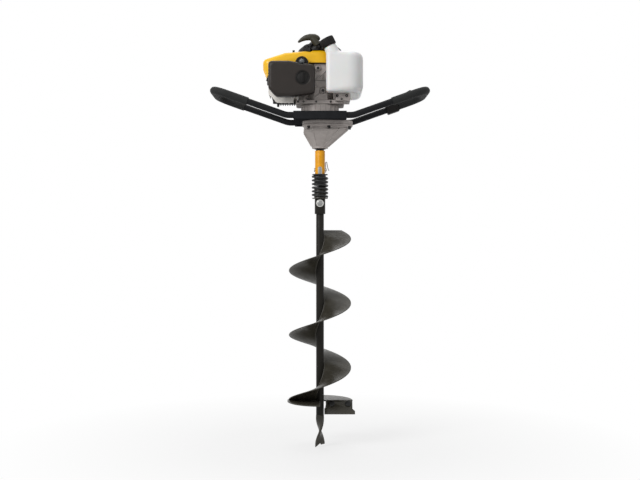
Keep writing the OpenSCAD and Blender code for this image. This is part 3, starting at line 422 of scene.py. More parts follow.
def make_helix_tree():
    """A helix with an oblong section, its corners rounded, its surface a little uneven."""
    tree, given, result = new_tree("helix", {
        "Turns": ("Float", 2.0), "Radius": ("Float", 0.05), "Height": ("Float", 0.2),
        "Width": ("Float", 0.01), "Thickness": ("Float", 0.01), "Corner": ("Float", 0.001),
        "Steps": ("Int", 64), "Right Handed": ("Bool", True),
        "Unevenness": ("Float", 0.0), "Seed": ("Float", float(SEED))})
    line = add(tree, "GeometryNodeCurveSpiral", [
        (given.outputs["Steps"], "Resolution"), (given.outputs["Turns"], "Rotations"),
        (given.outputs["Radius"], "Start Radius"), (given.outputs["Radius"], "End Radius"),
        (given.outputs["Height"], "Height"), (given.outputs["Right Handed"], "Reverse")])
    upright = add(tree, "GeometryNodeSetCurveNormal", [(line.outputs["Curve"], "Curve")])
    upright.mode = "Z_UP"
    oblong = add(tree, "GeometryNodeCurvePrimitiveQuadrilateral", [
        (given.outputs["Width"], "Width"), (given.outputs["Thickness"], "Height")])
    section = add(tree, "GeometryNodeFilletCurve", [
        (oblong.outputs["Curve"], "Curve"), (given.outputs["Corner"], "Radius")])
    section.mode = "POLY"
    section.inputs["Count"].default_value = 5
    solid = add(tree, "GeometryNodeCurveToMesh", [
        (upright.outputs["Curve"], "Curve"), (section.outputs["Curve"], "Profile Curve")])
    solid.inputs["Fill Caps"].default_value = True
    place = add(tree, "GeometryNodeInputPosition")
    lumps = add(tree, "ShaderNodeTexNoise", Scale=1 / (LUMP_SIZE * MM))
    lumps.noise_dimensions = "4D"
    tree.links.new(place.outputs["Position"], lumps.inputs["Vector"])
    tree.links.new(given.outputs["Seed"], lumps.inputs["W"])
    normal = add(tree, "GeometryNodeInputNormal")
    push = tree.nodes.new("ShaderNodeVectorMath")
    push.operation = "SCALE"
    tree.links.new(normal.outputs["Normal"], push.inputs[0])
    tree.links.new(product(tree, lumps.outputs["Fac"], given.outputs["Unevenness"]), push.inputs["Scale"])
    moved = add(tree, "GeometryNodeSetPosition", [
        (solid.outputs["Mesh"], "Geometry"), (push.outputs["Vector"], "Offset")])
    return close_tree(tree, given, moved.outputs["Geometry"], result)


def make_screw_tree():
    """A socket screw at each point of the seed mesh, along the point's axis attribute."""
    tree, given, result = new_tree("socket_screws", {
        "Head Radius": ("Float", 0.004), "Head Height": ("Float", 0.004), "Socket Radius": ("Float", 0.002)})
    head = add(tree, "GeometryNodeMeshCylinder", [
        (given.outputs["Head Radius"], "Radius"), (given.outputs["Head Height"], "Depth")], Vertices=28)
    recess = add(tree, "GeometryNodeMeshCylinder", [
        (given.outputs["Socket Radius"], "Radius"), (given.outputs["Head Height"], "Depth")], Vertices=6)
    half = tree.nodes.new("ShaderNodeMath")
    half.operation = "MULTIPLY"
    half.inputs[1].default_value = 0.5
    tree.links.new(given.outputs["Head Height"], half.inputs[0])
    lift = add(tree, "ShaderNodeCombineXYZ", [(half.outputs["Value"], "Z")])
    raised = add(tree, "GeometryNodeTransform", [
        (recess.outputs["Mesh"], "Geometry"), (lift.outputs["Vector"], "Translation")])
    cut = tree.nodes.new("GeometryNodeMeshBoolean")
    cut.operation = "DIFFERENCE"
    tree.links.new(head.outputs["Mesh"], cut.inputs["Mesh 1"])
    tree.links.new(raised.outputs["Geometry"], cut.inputs["Mesh 2"])
    axis = tree.nodes.new("GeometryNodeInputNamedAttribute")
    axis.data_type = "FLOAT_VECTOR"
    axis.inputs["Name"].default_value = "axis"
    turn = add(tree, "FunctionNodeAlignRotationToVector", [(axis.outputs["Attribute"], "Vector")])
    turn.axis = "Z"
    spots = add(tree, "GeometryNodeInstanceOnPoints", [
        (given.outputs["Geometry"], "Points"), (cut.outputs["Mesh"], "Instance"),
        (turn.outputs["Rotation"], "Rotation")])
    return close_tree(tree, given, spots.outputs["Instances"], result)


TUBE = make_tube_tree()
HELIX = make_helix_tree()
SCREWS = make_screw_tree()


def grow(tree, seed, material, **sizes):
    """The plain mesh that a tree makes from a seed mesh with these sizes."""
    obj = show(bpy.data.objects.new("grow", seed))
    modifier = obj.modifiers.new("grow", "NODES")
    modifier.node_group = tree
    sizes = {label.replace("_", " "): value for label, value in sizes.items()} | {"Material": material}
    for item in tree.interface.items_tree:
        if item.item_type == "SOCKET" and item.in_out == "INPUT" and item.name in sizes:
            modifier[item.identifier] = sizes[item.name]
    obj.update_tag()
    return plain_mesh(obj)


def seed_points(points, axes):
    """A mesh of loose points in millimetres, each with an axis."""
    mesh = bpy.data.meshes.new("seed_points")
    mesh.from_pydata([Vector(p) * MM for p in points], [], [])
    field = mesh.attributes.new("axis", "FLOAT_VECTOR", "POINT")
    field.data.foreach_set("vector", [c for axis in axes for c in axis])
    return mesh


def seed_path(points, closed=False):
    """A mesh of edges through the points, in millimetres."""
    count = len(points)
    joins = [(i, (i + 1) % count) for i in range(count if closed else count - 1)]
    mesh = bpy.data.meshes.new("seed_path")
    mesh.from_pydata([Vector(p) * MM for p in points], joins, [])
    return mesh


def ribs(name, body, slot, radius, lines, sides=12):
    """Rounded ribs along several lines, in millimetres."""
    points = [p for line in lines for p in line]
    joins = []
    for line in lines:
        first = joins[-1][1] + 1 if joins else 0
        joins += [(first + i, first + i + 1) for i in range(len(line) - 1)]
    seed = bpy.data.meshes.new("seed_ribs")
    seed.from_pydata([Vector(p) * MM for p in points], joins, [])
    mesh = grow(TUBE, seed, MATERIALS[slot], Radius=radius * MM, Sides=sides)
    return piece(name, smooth(mesh, 50), body, slot=slot)


def tube(name, points, radius, body, *nodes, sides=24, closed=False, slot=None):
    """A round tube through the points, in millimetres."""
    slot = slot or NODE_SLOT[nodes[0]]
    mesh = grow(TUBE, seed_path(points, closed), MATERIALS[slot], Radius=radius * MM, Sides=sides)
    return piece(name, smooth(mesh, 50), body, *nodes, slot=slot)


def helix_mesh(slot, start_angle, start_z, turns, rise, inner, outer, thickness, corner, steps,
               left=False, uneven=0.0):
    """A helix between two radii round the auger's axis, in millimetres and degrees."""
    mesh = grow(HELIX, bpy.data.meshes.new("seed"), MATERIALS[slot], Turns=turns,
                Radius=(inner + outer) / 2 * MM, Height=rise * MM, Width=(outer - inner) * MM,
                Thickness=thickness * MM, Corner=corner * MM, Steps=steps, Right_Handed=not left,
                Unevenness=uneven * MM)
    turn = Matrix.Rotation(math.radians(start_angle), 4, "Z")
    mesh.transform(Matrix.Translation((0, 0, start_z * MM)) @ turn)
    return mesh


def screws(name, body, slot, head_r, head_h, socket_r, places):
    """Socket screws on one body; each place is a point and the axis that its head faces."""
    seed = seed_points([p for p, _ in places], [a for _, a in places])
    mesh = grow(SCREWS, seed, MATERIALS[slot], Head_Radius=head_r * MM, Head_Height=head_h * MM,
                Socket_Radius=socket_r * MM)
    return piece(name, smooth(mesh, 35), body, slot=slot)


# Bit

FLIGHT_PITCH = 207.0
FLIGHT_R = 100.0
FLIGHT_BORE = 12.7
FLIGHT_T = 3.0
FLIGHT_FROM = -184.0
FLIGHT_FRONT_Z = 205.0
FLIGHT_TURNS = 949.65 / 360
FLIGHT_CORNER = 0.9
FLIGHT_STEPS = 96
WELD_LIFT = 2.2
WELD_IN = 0.6
WELD_OUT = 2.6
WELD_T = 3.0
WELD_CORNER = 1.3
WELD_STEPS = 180
WELD_LUMPS = 1.4
BIT_BOLT_Y = -20.0
LIP_SPOT = (26, -400, 140)
LIP_END = ((23.5, 149.5), (17.5, 149.5), (18.5, 138), (15.5, 121), (23.5, 121))


def flight_z(angle):
    """Height of the flight's middle at an angle."""
    return FLIGHT_FRONT_Z + FLIGHT_PITCH * (angle + 90) / 360


def make_bit():
    """The flight with its weld beads, the tube, the socket and its bolt, and the cutting head."""
    start_z = flight_z(FLIGHT_FROM)
    rise = FLIGHT_PITCH * FLIGHT_TURNS
    blade = helix_mesh("bit_black", FLIGHT_FROM, start_z, FLIGHT_TURNS, rise, FLIGHT_BORE, FLIGHT_R,
                       FLIGHT_T, FLIGHT_CORNER, FLIGHT_STEPS)
    piece("flight", smooth(blade, 40), "bit", "auger_flight")
    for side, lift in (("upper", WELD_LIFT), ("lower", -WELD_LIFT)):
        bead = helix_mesh("bit_black", FLIGHT_FROM, start_z + lift, FLIGHT_TURNS, rise, FLIGHT_BORE - WELD_IN,
                          FLIGHT_BORE + WELD_OUT, WELD_T, WELD_CORNER, WELD_STEPS, uneven=WELD_LUMPS)
        piece("flight_weld_" + side, bead, "bit", slot="bit_black")
    for name, node, width in (("head_plate", "cutting_head", 0.6), ("head_blade", "cutting_blade", 0.7),
                              ("head_bolts", "blade_bolts", 0.4), ("fishtail", "fishtail_point", 0.6),
                              ("adapter", "bit_adapter", 0.5)):
        eased(name, node, width)
    # The tube and the socket take the darker copy of the bit's paint: painted shade.
    eased("bit_tube", "auger_tube", 0.5, finish="tube_painted_shade")
    eased("socket", "bit_socket", 0.6, finish="tube_painted_shade")
    lip_y = laid("cutting_head", [LIP_SPOT])[0].y
    piece("head_lip_end", bevelled(prism(LIP_END, lip_y, lip_y + FLIGHT_T), 0.5), "bit", slot="bit_black")
    bolt = cad_copy("bit_bolt")
    piece("socket_bolt", bevelled(sliced(bolt, (0, BIT_BOLT_Y, 0), (0, 1, 0)), 0.5), "bit", "bit_bolt")
    piece("socket_bolt_hex", bevelled(sliced(bolt, (0, BIT_BOLT_Y, 0), (0, -1, 0)), 0.5), "bit", slot="steel")


# Drive

SPRING_R = 23.15
SPRING_WIRE = 7.2
SPRING_TURNS = 5.6
SPRING_Z = 805.8
SPRING_RISE = 65.4
SPRING_STEPS = 64
ROUND_SHARE = 0.499  # corner radius as a share of the wire, so that the section is round
COUPLER_Z = 878.0
COUPLER_R = 16.0
WINDOW_WIDE = 13.0
WINDOW_FROM = 878.2
WINDOW_TO = 902.0
WINDOW_T = 0.9
WINDOW_ROWS = 24
WINDOW_COLUMNS = 12
SLINGER_Z = (953.1, 957.7)
SLINGER_R = 12.7


def coupler_window():
    """The bare metal tongue on the coupler's front, curved round the tube, with a round upper end."""
    half = WINDOW_WIDE / 2
    points = []
    for i in range(WINDOW_ROWS + 1):
        z = WINDOW_FROM + (WINDOW_TO - WINDOW_FROM) * i / WINDOW_ROWS
        off = max(half - (WINDOW_TO - z), 0.0)
        reach = math.sqrt(max(half * half - off * off, 0.25))
        turns = [reach * (2 * k / WINDOW_COLUMNS - 1) / COUPLER_R for k in range(WINDOW_COLUMNS + 1)]
        points += [Vector((COUPLER_R * math.sin(t), -COUPLER_R * math.cos(t), z)) * MM for t in turns]
    step = WINDOW_COLUMNS + 1
    firsts = [r * step + k for r in range(WINDOW_ROWS) for k in range(WINDOW_COLUMNS)]
    mesh = bpy.data.meshes.new("coupler_window")
    mesh.from_pydata(points, [], [(i, i + 1, i + step + 1, i + step) for i in firsts])
    return smooth(reshaped(mesh, ("SOLIDIFY", {"thickness": WINDOW_T * MM, "offset": 0.0})), 40)


def make_drive():
    """The shock spring between the coupler and the bit, the coupler with its pin, and the shaft's seals."""
    half = SPRING_WIRE / 2
    coil = helix_mesh("spring_black", 0.0, SPRING_Z, SPRING_TURNS, SPRING_RISE, SPRING_R - half,
                      SPRING_R + half, SPRING_WIRE, SPRING_WIRE * ROUND_SHARE, SPRING_STEPS, left=True)
    blended("spring_coil", smooth(coil, 60), "shock_spring")
    whole = cad_copy("drive_coupler")
    piece("coupler", bevelled(sliced(whole, (0, 0, COUPLER_Z), (0, 0, 1)), 0.6), "drive", "drive_coupler")
    piece("spring_seat", bevelled(sliced(whole, (0, 0, COUPLER_Z), (0, 0, -1)), 0.6), "drive",
          slot="spring_black")
    piece("coupler_window", coupler_window(), "drive", slot="steel")
    eased("pin", "coupler_pin", 0.5)
    eased("clip", "hairpin_clip", 0.2, finish="clip_wire")
    eased("seal_ring", "output_seal", 0.5)
    tube("shaft_slinger", [(0, 0, z) for z in SLINGER_Z], SLINGER_R, "drive", slot="seal")


# Gearbox and engine castings

CLUTCH_R = 58.6
CLUTCH_RIBS = 24
CLUTCH_RIB_R = 2.2
CLUTCH_RIB_Z = (1055, 1094)
SKIRT_TOP = 1019.0
SKIRT_RINGS = ((0, 52.4, 1011), (0, 52.4, 1030), (46, 44.4, 1022), (46, 44.4, 1030),
               (0, 28.4, 968.5), (0, 26.8, 966.5))
SKIRT_RIB_R = 1.3
SKIRT_RIB_RISE = 20
GEARBOX_RIBS = (((-40, 1024), (84, 1024)),)
CROWN_RIBS = (((-6, 1210), (-26, 1180)), ((-10, 1176), (22, 1206)), ((10, 1194), (10, 1172)))
FOOT_RIBS = (((9, 1139), (-24, 1112)), ((9, 1139), (38, 1112)), ((-32, 1152), (34, 1152)))
FRONT_RIBS = (("gearbox_ribs", "gearbox_case", 1.8, GEARBOX_RIBS),
              ("crankcase_crown_ribs", "crankcase_upper", 2.6, CROWN_RIBS),
              ("crankcase_foot_ribs", "crankcase_lower", 2.4, FOOT_RIBS))
SHIELD_OUTLINE = ((-83, 1150), (-83, 1106), (-86, 1103), (-136, 1103), (-141, 1106), (-153, 1121),
                  (-162, 1128), (-164, 1132), (-164, 1158))
SHIELD_Y = (-45.4, -34.0)
SHIELD_T = 1.4
SHIELD_BEND = 5.0
WEBS = ((((-67, 1106), (-56, 1106), (-48, 1134), (-67, 1134)), (-28, 28)),
        (((42, 1106), (58, 1106), (58, 1140), (42, 1146)), (-34, 12)),
        (((-62, 1109), (-46, 1109), (-46, 1122)), (-42, -36)),
        (((46, 1109), (62, 1109), (46, 1122)), (-42, -36)))
GUARD_BRACKET = ((-158, 1133), (-153, 1117), (-141, 1112), (-140, 1101), (-134, 1101), (-131, 1114),
                 (-131, 1121), (-149, 1124), (-154, 1133))
GUARD_BRACKET_Y = (48, 54)
GUARD_Y = 53.2
GUARD_ROD_R = 1.6
GUARD_TEETH_X = [-128 + 7.5 * i for i in range(8)]
GUARD_TEETH_Z = (1114, 1105.5)
GUARD_BAR_X = (-140, -67)
GUARD_BAR_Z = 1110.5


def make_castings():
    """The castings of the gearbox and the engine, and what is bolted to them."""
    rounded("gearbox_body", "gearbox_case", 1.2, 5, 0.45)
    rounded("gearbox_lid", "gearbox_cover", 1.2, 4, 0.4)
    rounded("clutch_bell", "clutch_housing", 1.2, 4, 0.45)
    rounded("crankcase_foot", "crankcase_lower", 1.2, 4, 0.45)
    rounded("crankcase_crown", "crankcase_upper", 1.2, 4, 0.45)
    eased("cylinder_fins", "engine_cylinder", 0.5)
    eased("bolts", "case_bolts", 0.5)
    rounded("muffler_can", "muffler", 1.2, 6, 0.4)
    eased("muffler_plate", "muffler_guard", 0.5)
    eased("carburettor_body", "carburettor", 0.6)
    eased("plug", "spark_plug", 0.4)
    eased("coil_pack", "ignition_coil", 0.8)


def gearbox_skirt():
    """The eight-sided funnel of the gearbox, up into its flange."""
    turns = [math.pi / 8 + math.pi / 4 * i for i in range(8)]
    corner = 1 / math.cos(math.pi / 8)
    points = [(x + reach * corner * math.cos(t), reach * corner * math.sin(t), z)
              for x, reach, z in SKIRT_RINGS for t in turns]
    flat = {"decimate_type": "DISSOLVE", "angle_limit": math.radians(1)}
    return reshaped(hulls([points]), ("DECIMATE", flat))


def cylinder_shield():
    """The bright sheet round the lower half of the cylinder, open at its top and back."""
    shape = bmesh.new()
    shape.from_mesh(prism(SHIELD_OUTLINE, *SHIELD_Y))
    open_sides = [f for f in shape.faces if f.normal.z > 0.9 or f.normal.y > 0.9]
    bmesh.ops.delete(shape, geom=open_sides, context="FACES")
    mesh = bpy.data.meshes.new("cylinder_shield")
    shape.to_mesh(mesh)
    shape.free()
    bends = {"width": SHIELD_BEND * MM, "segments": 4, "limit_method": "ANGLE", "angle_limit": math.radians(25)}
    wall = {"thickness": SHIELD_T * MM, "offset": -1.0}
    return smooth(reshaped(mesh, ("BEVEL", bends), ("SOLIDIFY", wall)), 40)


def make_webs():
    """The sheet below the cylinder, and the webs between the crankcase and what it carries."""
    piece("cylinder_sheet", cylinder_shield(), "powerhead", slot="muffler_steel")
    for i, (outline, ys) in enumerate(WEBS):
        piece("crankcase_web_%d" % i, bevelled(prism(outline, *ys), 1.5), "powerhead", slot="cast")
    bracket = prism(GUARD_BRACKET, *GUARD_BRACKET_Y)
    piece("guard_bracket", bevelled(bracket, 1.2), "powerhead", slot="guard_black")
    teeth = [[(x, GUARD_Y, z) for z in GUARD_TEETH_Z] for x in GUARD_TEETH_X]
    bar = [(x, GUARD_Y, GUARD_BAR_Z) for x in GUARD_BAR_X]
    ribs("guard_teeth", "powerhead", "guard_black", GUARD_ROD_R, teeth + [bar])


def make_casting_ribs():
    """Cast ribs on the fronts of the gearbox and the crankcase, and round the clutch housing."""
    funnel = gearbox_skirt()
    joins = [[funnel.vertices[i].co / MM for i in edge.vertices] for edge in funnel.edges]
    upright = [(a, b) for a, b in joins if abs(a.z - b.z) > SKIRT_RIB_RISE]
    ribs("gearbox_edges", "powerhead", "cast", SKIRT_RIB_R, upright)
    below = sliced(funnel, (0, 0, SKIRT_TOP), (0, 0, -1))
    piece("gearbox_funnel", smooth(bevelled(below, 1.0, 12), 8), "powerhead", slot="cast")
    for name, node, radius, lines in FRONT_RIBS:
        fronts = [[(p.x, -400, p.y) for p in along(first, last, 16)] for first, last in lines]
        ribs(name, "powerhead", "cast", radius, [laid(node, line, sink=0.5) for line in fronts])
    turns = [2 * math.pi * i / CLUTCH_RIBS for i in range(CLUTCH_RIBS)]
    ribs("clutch_ribs", "powerhead", "cast", CLUTCH_RIB_R,
         [[(CLUTCH_R * math.cos(t), CLUTCH_R * math.sin(t), z) for z in CLUTCH_RIB_Z] for t in turns])


# Handle

BAR_R = 10.0
BAR_SPAN = 208.0
BAR_Z = 1056.0
BAR_SLOPE = math.radians(19.5)
BEND_R = 60.0
BEND_X = 105 - BEND_R * math.tan(BAR_SLOPE / 2)
LOOP_HALF = 335.0
CORNER_R = 45.0
GRIP_T = 2.4
GRIP_FROM = 118.0
RIGHT_REAR_FROM = GRIP_FROM + 37
LEFT_REAR_FROM = GRIP_FROM + 26
TUBE_SIDES = 32
SLOPE_X = BEND_X + BEND_R * math.sin(BAR_SLOPE)
SLOPE_Z = BAR_Z + BEND_R * (1 - math.cos(BAR_SLOPE))
SLOPE_LEN = (LOOP_HALF - SLOPE_X) / math.cos(BAR_SLOPE)


def on_loop(reach, y):
    """A point on the sloped plane of the right loop."""
    return (SLOPE_X + reach * math.cos(BAR_SLOPE), y, SLOPE_Z + reach * math.sin(BAR_SLOPE))


def corner_points(steps=20):
    """The rounded rear corner of the right loop."""
    turns = [math.pi / 2 * i / steps for i in range(steps + 1)]
    x, y = SLOPE_LEN - CORNER_R, BAR_SPAN / 2 - CORNER_R
    return [on_loop(x + CORNER_R * math.sin(a), y + CORNER_R * math.cos(a)) for a in turns]


def bend_points(steps=12):
    """The bend from the level bar to the slope, at the right rear."""
    turns = [BAR_SLOPE * i / steps for i in range(steps + 1)]
    return [(BEND_X + BEND_R * math.sin(a), BAR_SPAN / 2, BAR_Z + BEND_R * (1 - math.cos(a))) for a in turns]


def to_front(points):
    """The points mirrored to the front, in reverse order."""
    return [(x, -y, z) for x, y, z in reversed(points)]


def to_left(points):
    """The points mirrored to the left, in reverse order."""
    return [(-x, y, z) for x, y, z in reversed(points)]


def sleeve_path(front_from, rear_from):
    """Centre line of a grip round the right loop's end."""
    curve = corner_points()
    ends = on_loop(rear_from, BAR_SPAN / 2), on_loop(front_from, -BAR_SPAN / 2)
    return [ends[0]] + curve + to_front(curve) + [ends[1]]


def make_handle():
    """The tube frame with its two loops, the foam grips, the cradle and the controls."""
    rear_right = bend_points() + corner_points()
    right = rear_right + to_front(rear_right)
    loop = right + to_left(right)
    tube("handle_tube", loop, BAR_R, "powerhead", "handle_frame", sides=TUBE_SIDES, closed=True)
    right_sleeve = sleeve_path(GRIP_FROM, RIGHT_REAR_FROM)
    left_sleeve = [(-x, y, z) for x, y, z in sleeve_path(GRIP_FROM, LEFT_REAR_FROM)]
    for name, node, line in (("grip_right", "right_grip", right_sleeve),
                             ("grip_left", "left_grip", left_sleeve)):
        tube(name, line, BAR_R + GRIP_T, "powerhead", node, sides=TUBE_SIDES)
    eased("cradle", "handle_cradle", 1.2, finish="cradle_black")
    rounded("throttle_box", "throttle_housing", 0.8, 5, 0.5)
    eased("throttle_lever", "throttle_trigger", 1.0)
    eased("stop_rocker", "stop_switch", 0.8)


# Air filter, shroud, starter and tank

PRIMER_PANEL = (-57.0, -84.4, 1222.5)
PRIMER_PANEL_R = 20.5
PRIMER_PANEL_T = 2.0
PRIMER_CUP = (-57.0, 1226.0)
PRIMER_CUP_R = 11.4
LOUVRE_LINE = ((67.0, 1274.5), (48.5, 1290.2))
LOUVRE_R = 2.3
LOUVRE_TURNS = range(-50, 244, 9)
DOME_RINGS = (((70.5, 1262.0), (70.5, 1272.0), (69.0, 1275.5), (64.0, 1275.5), (60.0, 1262.0)),
              ((51.0, 1288.5), (50.0, 1291.5), (45.0, 1292.0), (39.0, 1288.5)))
DOME_TURN = (-52.0, 244.0)
TANK_TOP = 1258.0
TANK_EDGE = 21.0
TANK_FOOT = 1129
TANK_CORNER = (86.0, -60.0, 50.0)
TANK_POSTS = ((((31, -98, 12), TANK_FOOT), ((31, -78, 12), TANK_FOOT)),
              (((89, -60, 12), TANK_FOOT), ((106, 47, 29), 1124), ((89, 66, 12), 1124)))
NECK_FOOT = Vector((34, -87, 1267))
NECK_TILT = math.radians(26.6)
NECK_R = 19.5
NECK_RINGS = ((-26, NECK_R + 3), (8.6, NECK_R))
GUIDE = Vector((-5.0, -62.0, 1283.0))
PULL_TILT = math.radians(28)
PULL_WAY = Vector((-math.sin(PULL_TILT), 0.0, math.cos(PULL_TILT)))
GRIP_Y = -62.0
GRIP_WING = ((-66.5, 1292.5, 3.8), (-57, 1299.5, 6.2), (-45, 1305, 8.8), (-31, 1307.2, 10.4),
             (-18, 1307.2, 10.2), (-9, 1305, 8), (-5, 1302.6, 6))
GRIP_STEM = ((-23, 1303, 10.5), (-13.5, 1292, 11.2), (-4, 1279, 11.2))
GRIP_CLEARANCE = 0.5
SHROUD_FOOT = 1181.0
SHROUD_END = (-150.0, 1213.0)
SHROUD_DRAW = 13.0
SHROUD_DRAW_WIDE = 25.0
ROPE_R = 2.0
ROPE_FROM = -10.0
ROPE_LEN = 33.5
ROPE_STEPS = 80


def primer_panel():
    """The round panel behind the primer bulb, with a hole for the bulb's cup."""
    x, y, z = PRIMER_PANEL
    count = 64
    turns = [2 * math.pi * i / count for i in range(count)]
    back = y + PRIMER_PANEL_T
    loops = [(x, z, PRIMER_PANEL_R, y), (*PRIMER_CUP, PRIMER_CUP_R, y),
             (*PRIMER_CUP, PRIMER_CUP_R, back), (x, z, PRIMER_PANEL_R, back)]
    points = [Vector((cx + r * math.cos(t), cy, cz + r * math.sin(t))) * MM
              for cx, cz, r, cy in loops for t in turns]
    faces = [(k * count + i, k * count + (i + 1) % count, (k + 1) % 4 * count + (i + 1) % count,
              (k + 1) % 4 * count + i) for k in range(4) for i in range(count)]
    mesh = bpy.data.meshes.new("primer_panel")
    mesh.from_pydata(points, [], faces)
    return bevelled(outward(mesh), 0.5)


def tank_post(x, y, r, foot, first=0, last=360):
    """Points of an upright post of the tank, or of a sector of one, with round ends."""
    edge = min(0.8 * r, TANK_EDGE)
    bends = [math.pi / 2 * i / 6 for i in range(7)]
    turns = [math.radians(first + (last - first) * i / 40) for i in range(41)]
    levels = [(r - edge + edge * math.cos(a), edge * (1 - math.sin(a))) for a in bends]
    return [(x + reach * math.cos(t), y + reach * math.sin(t), z) for reach, drop in levels for t in turns
            for z in (foot + drop, TANK_TOP - drop)]


def tank_shell():
    """The blown tank: its two slabs and the foot of its neck run together, with full round edges."""
    lean = Vector((-math.sin(NECK_TILT), 0, math.cos(NECK_TILT)))
    across = Vector((math.cos(NECK_TILT), 0, math.sin(NECK_TILT)))
    corner = tank_post(*TANK_CORNER, TANK_FOOT, -90, 0)
    solids = [corner + [p for post, foot in posts for p in tank_post(*post, foot)] for posts in TANK_POSTS]
    turns = [2 * math.pi * i / 40 for i in range(40)]
    solids.append([NECK_FOOT + lean * h + across * r * math.cos(t) + Vector((0, r * math.sin(t), 0))
                   for h, r in NECK_RINGS for t in turns])
    return moulded(hulls(solids), 2.0, 14, 0.5)


def turned(outline, first, last, steps=60):
    """A closed sector round the auger's axis with an outline of radii and heights, in millimetres."""
    count = len(outline)
    turns = [math.radians(first + (last - first) * i / steps) for i in range(steps + 1)]
    points = [Vector((r * math.cos(t), r * math.sin(t), z)) * MM for t in turns for r, z in outline]
    sides = [(k, (k + 1) % count, count + (k + 1) % count, count + k) for k in range(count)]
    faces = [tuple(i * count + k for k in side) for i in range(steps) for side in sides]
    ends = [tuple(range(count)), tuple(range(steps * count, (steps + 1) * count))]
    mesh = bpy.data.meshes.new("sector")
    mesh.from_pydata(points, [], faces + ends)
    return outward(mesh)


def starter_grip():
    """The pull handle: a thick bowed wing, its longer arm to the left, on a stout stem."""
    chains = [[ball(x, GRIP_Y, z, r) for x, z, r in chain] for chain in (GRIP_WING, GRIP_STEM)]
    solid = hulls([first + second for chain in chains for first, second in zip(chain, chain[1:])])
    cut = GUIDE + PULL_WAY * GRIP_CLEARANCE
    return smooth(sliced(moulded(solid, 0.8, 10, 0.5), cut, PULL_WAY), 60)


def shroud_shell():
    """The moulded shroud, its left end drawn in towards its lower edge."""
    mesh = sliced(moulded(cad_copy("engine_shroud"), 1.0, 14, 0.4), (0, 0, SHROUD_FOOT), (0, 0, 1))
    end_x, end_z = SHROUD_END
    for vertex in mesh.vertices:
        x, z = vertex.co.x / MM, vertex.co.z / MM
        share = min(max((end_x - x) / SHROUD_DRAW_WIDE, 0), 1)
        drop = min(max((end_z - z) / (end_z - SHROUD_FOOT), 0), 1)
        vertex.co.x += SHROUD_DRAW * share * drop ** 1.6 * MM
    return smooth(mesh, 60)


def make_covers():
    """The air filter, the shroud, the recoil starter's dome and handle, and the tank."""
    rounded("filter_lid", "air_filter_cover", 1.0, 8, 0.4, swell=1.5)
    rounded("filter_back", "air_filter_base", 1.0, 3, 0.4)
    foam_pad = rounded("filter_pad", "air_filter_element", 1.5, 3, 0.5)
    knob = bevelled(cad_copy("filter_knob"), 0.7)
    piece("filter_screw", knob, "knob", "filter_knob", slot="black_plastic")
    piece("primer_surround", primer_panel(), "powerhead", slot="black_plastic")
    eased("choke_arm", "choke_lever", 0.5)
    eased("primer_dome", "primer_bulb", 0.4)
    piece("shroud_shell", shroud_shell(), "powerhead", "engine_shroud")
    rounded("starter_dome", "starter_housing", 0.9, 5, 0.5)
    for level, outline in zip(("lower", "upper"), DOME_RINGS):
        ring = bevelled(turned(outline, *DOME_TURN), 0.8)
        piece("starter_ring_" + level, ring, "powerhead", slot="black_plastic")
    piece("starter_grip", starter_grip(), "pull_handle", "starter_handle")
    turns = [math.radians(a) for a in LOUVRE_TURNS]
    ribs("dome_louvres", "powerhead", "black_plastic", LOUVRE_R,
         [[(r * math.cos(t), r * math.sin(t), z) for r, z in LOUVRE_LINE] for t in turns])
    piece("tank_shell", tank_shell(), "powerhead", "fuel_tank")
    eased("tank_cap", "fuel_cap", 0.7)


def make_rope():
    """Starter rope from the housing into the handle."""
    line = along(GUIDE + PULL_WAY * ROPE_FROM, GUIDE + PULL_WAY * (ROPE_FROM + ROPE_LEN), ROPE_STEPS)
    mesh = grow(TUBE, seed_path(line), MATERIALS["rope"], Radius=ROPE_R * MM, Sides=12)
    blended("rope", smooth(mesh, 50), "starter_rope")


# Screws

UP = (0, 0, 1)
FORWARD = (0, -1, 0)
SHROUD_SPOTS = ((-84, -34), (-84, 36))
SHROUD_SCREW_Z = 1265
SHROUD_POST_Z = (1185.0, 1261.2)
SHROUD_POST_R = 5.0
CRANKCASE_SPOTS = ((-6, -59, 1210), (9, -59, 1139), (54, -70, 1121), (84, -70, 1121))
FLANGE_SPOTS = ((-70, -58, 1104), (-52, -58, 1104), (-12, -58, 1104), (34, -58, 1104), (68, -70, 1111))


def make_screws():
    """Screws of the castings, and the posts on the cylinder that carry the shroud."""
    shroud_places = [((x, y, SHROUD_SCREW_Z), UP) for x, y in SHROUD_SPOTS]
    crankcase_places = [(spot, FORWARD) for spot in CRANKCASE_SPOTS]
    flange_places = [(spot, FORWARD) for spot in FLANGE_SPOTS]
    for name, head_r, head_h, socket_r, places in (("shroud_screws", 3.6, 11.0, 1.9, shroud_places),
                                                   ("crankcase_screws", 4.4, 6.0, 2.2, crankcase_places),
                                                   ("flange_screws", 3.2, 5.0, 1.6, flange_places)):
        screws(name, "powerhead", "bolt_black", head_r, head_h, socket_r, places)
    posts = [[(x, y, z) for z in SHROUD_POST_Z] for x, y in SHROUD_SPOTS]
    ribs("shroud_posts", "powerhead", "cylinder_cast", SHROUD_POST_R, posts, sides=24)


# Floor, light and camera

FLOOR_SIDE = 30.0
FLOOR_TONE = (0.84, 0.84, 0.84, 1)
WHITE = (1, 1, 1, 1)
SHADOW_FROM = 0.35
SHADOW_TO = 1.1
SHADOW_WHITE = 0.72
ROOM_LIGHT = 0.28
LAMP_TARGET = Vector((0, 0, 0.85))
LAMPS = (("key_lamp", (-2.1, -2.3, 2.5), 1.5, 74), ("fill_lamp", (2.3, -2.0, 1.5), 1.8, 9),
         ("top_lamp", (0.2, 0.3, 3.2), 1.6, 20), ("rear_lamp", (-0.6, 2.6, 2.2), 1.8, 14))
CAMERA_PLACE = (0.0, -3.2, 0.677)
CAMERA_LENS = 55.9
HORIZON_SHIFT = -0.0052


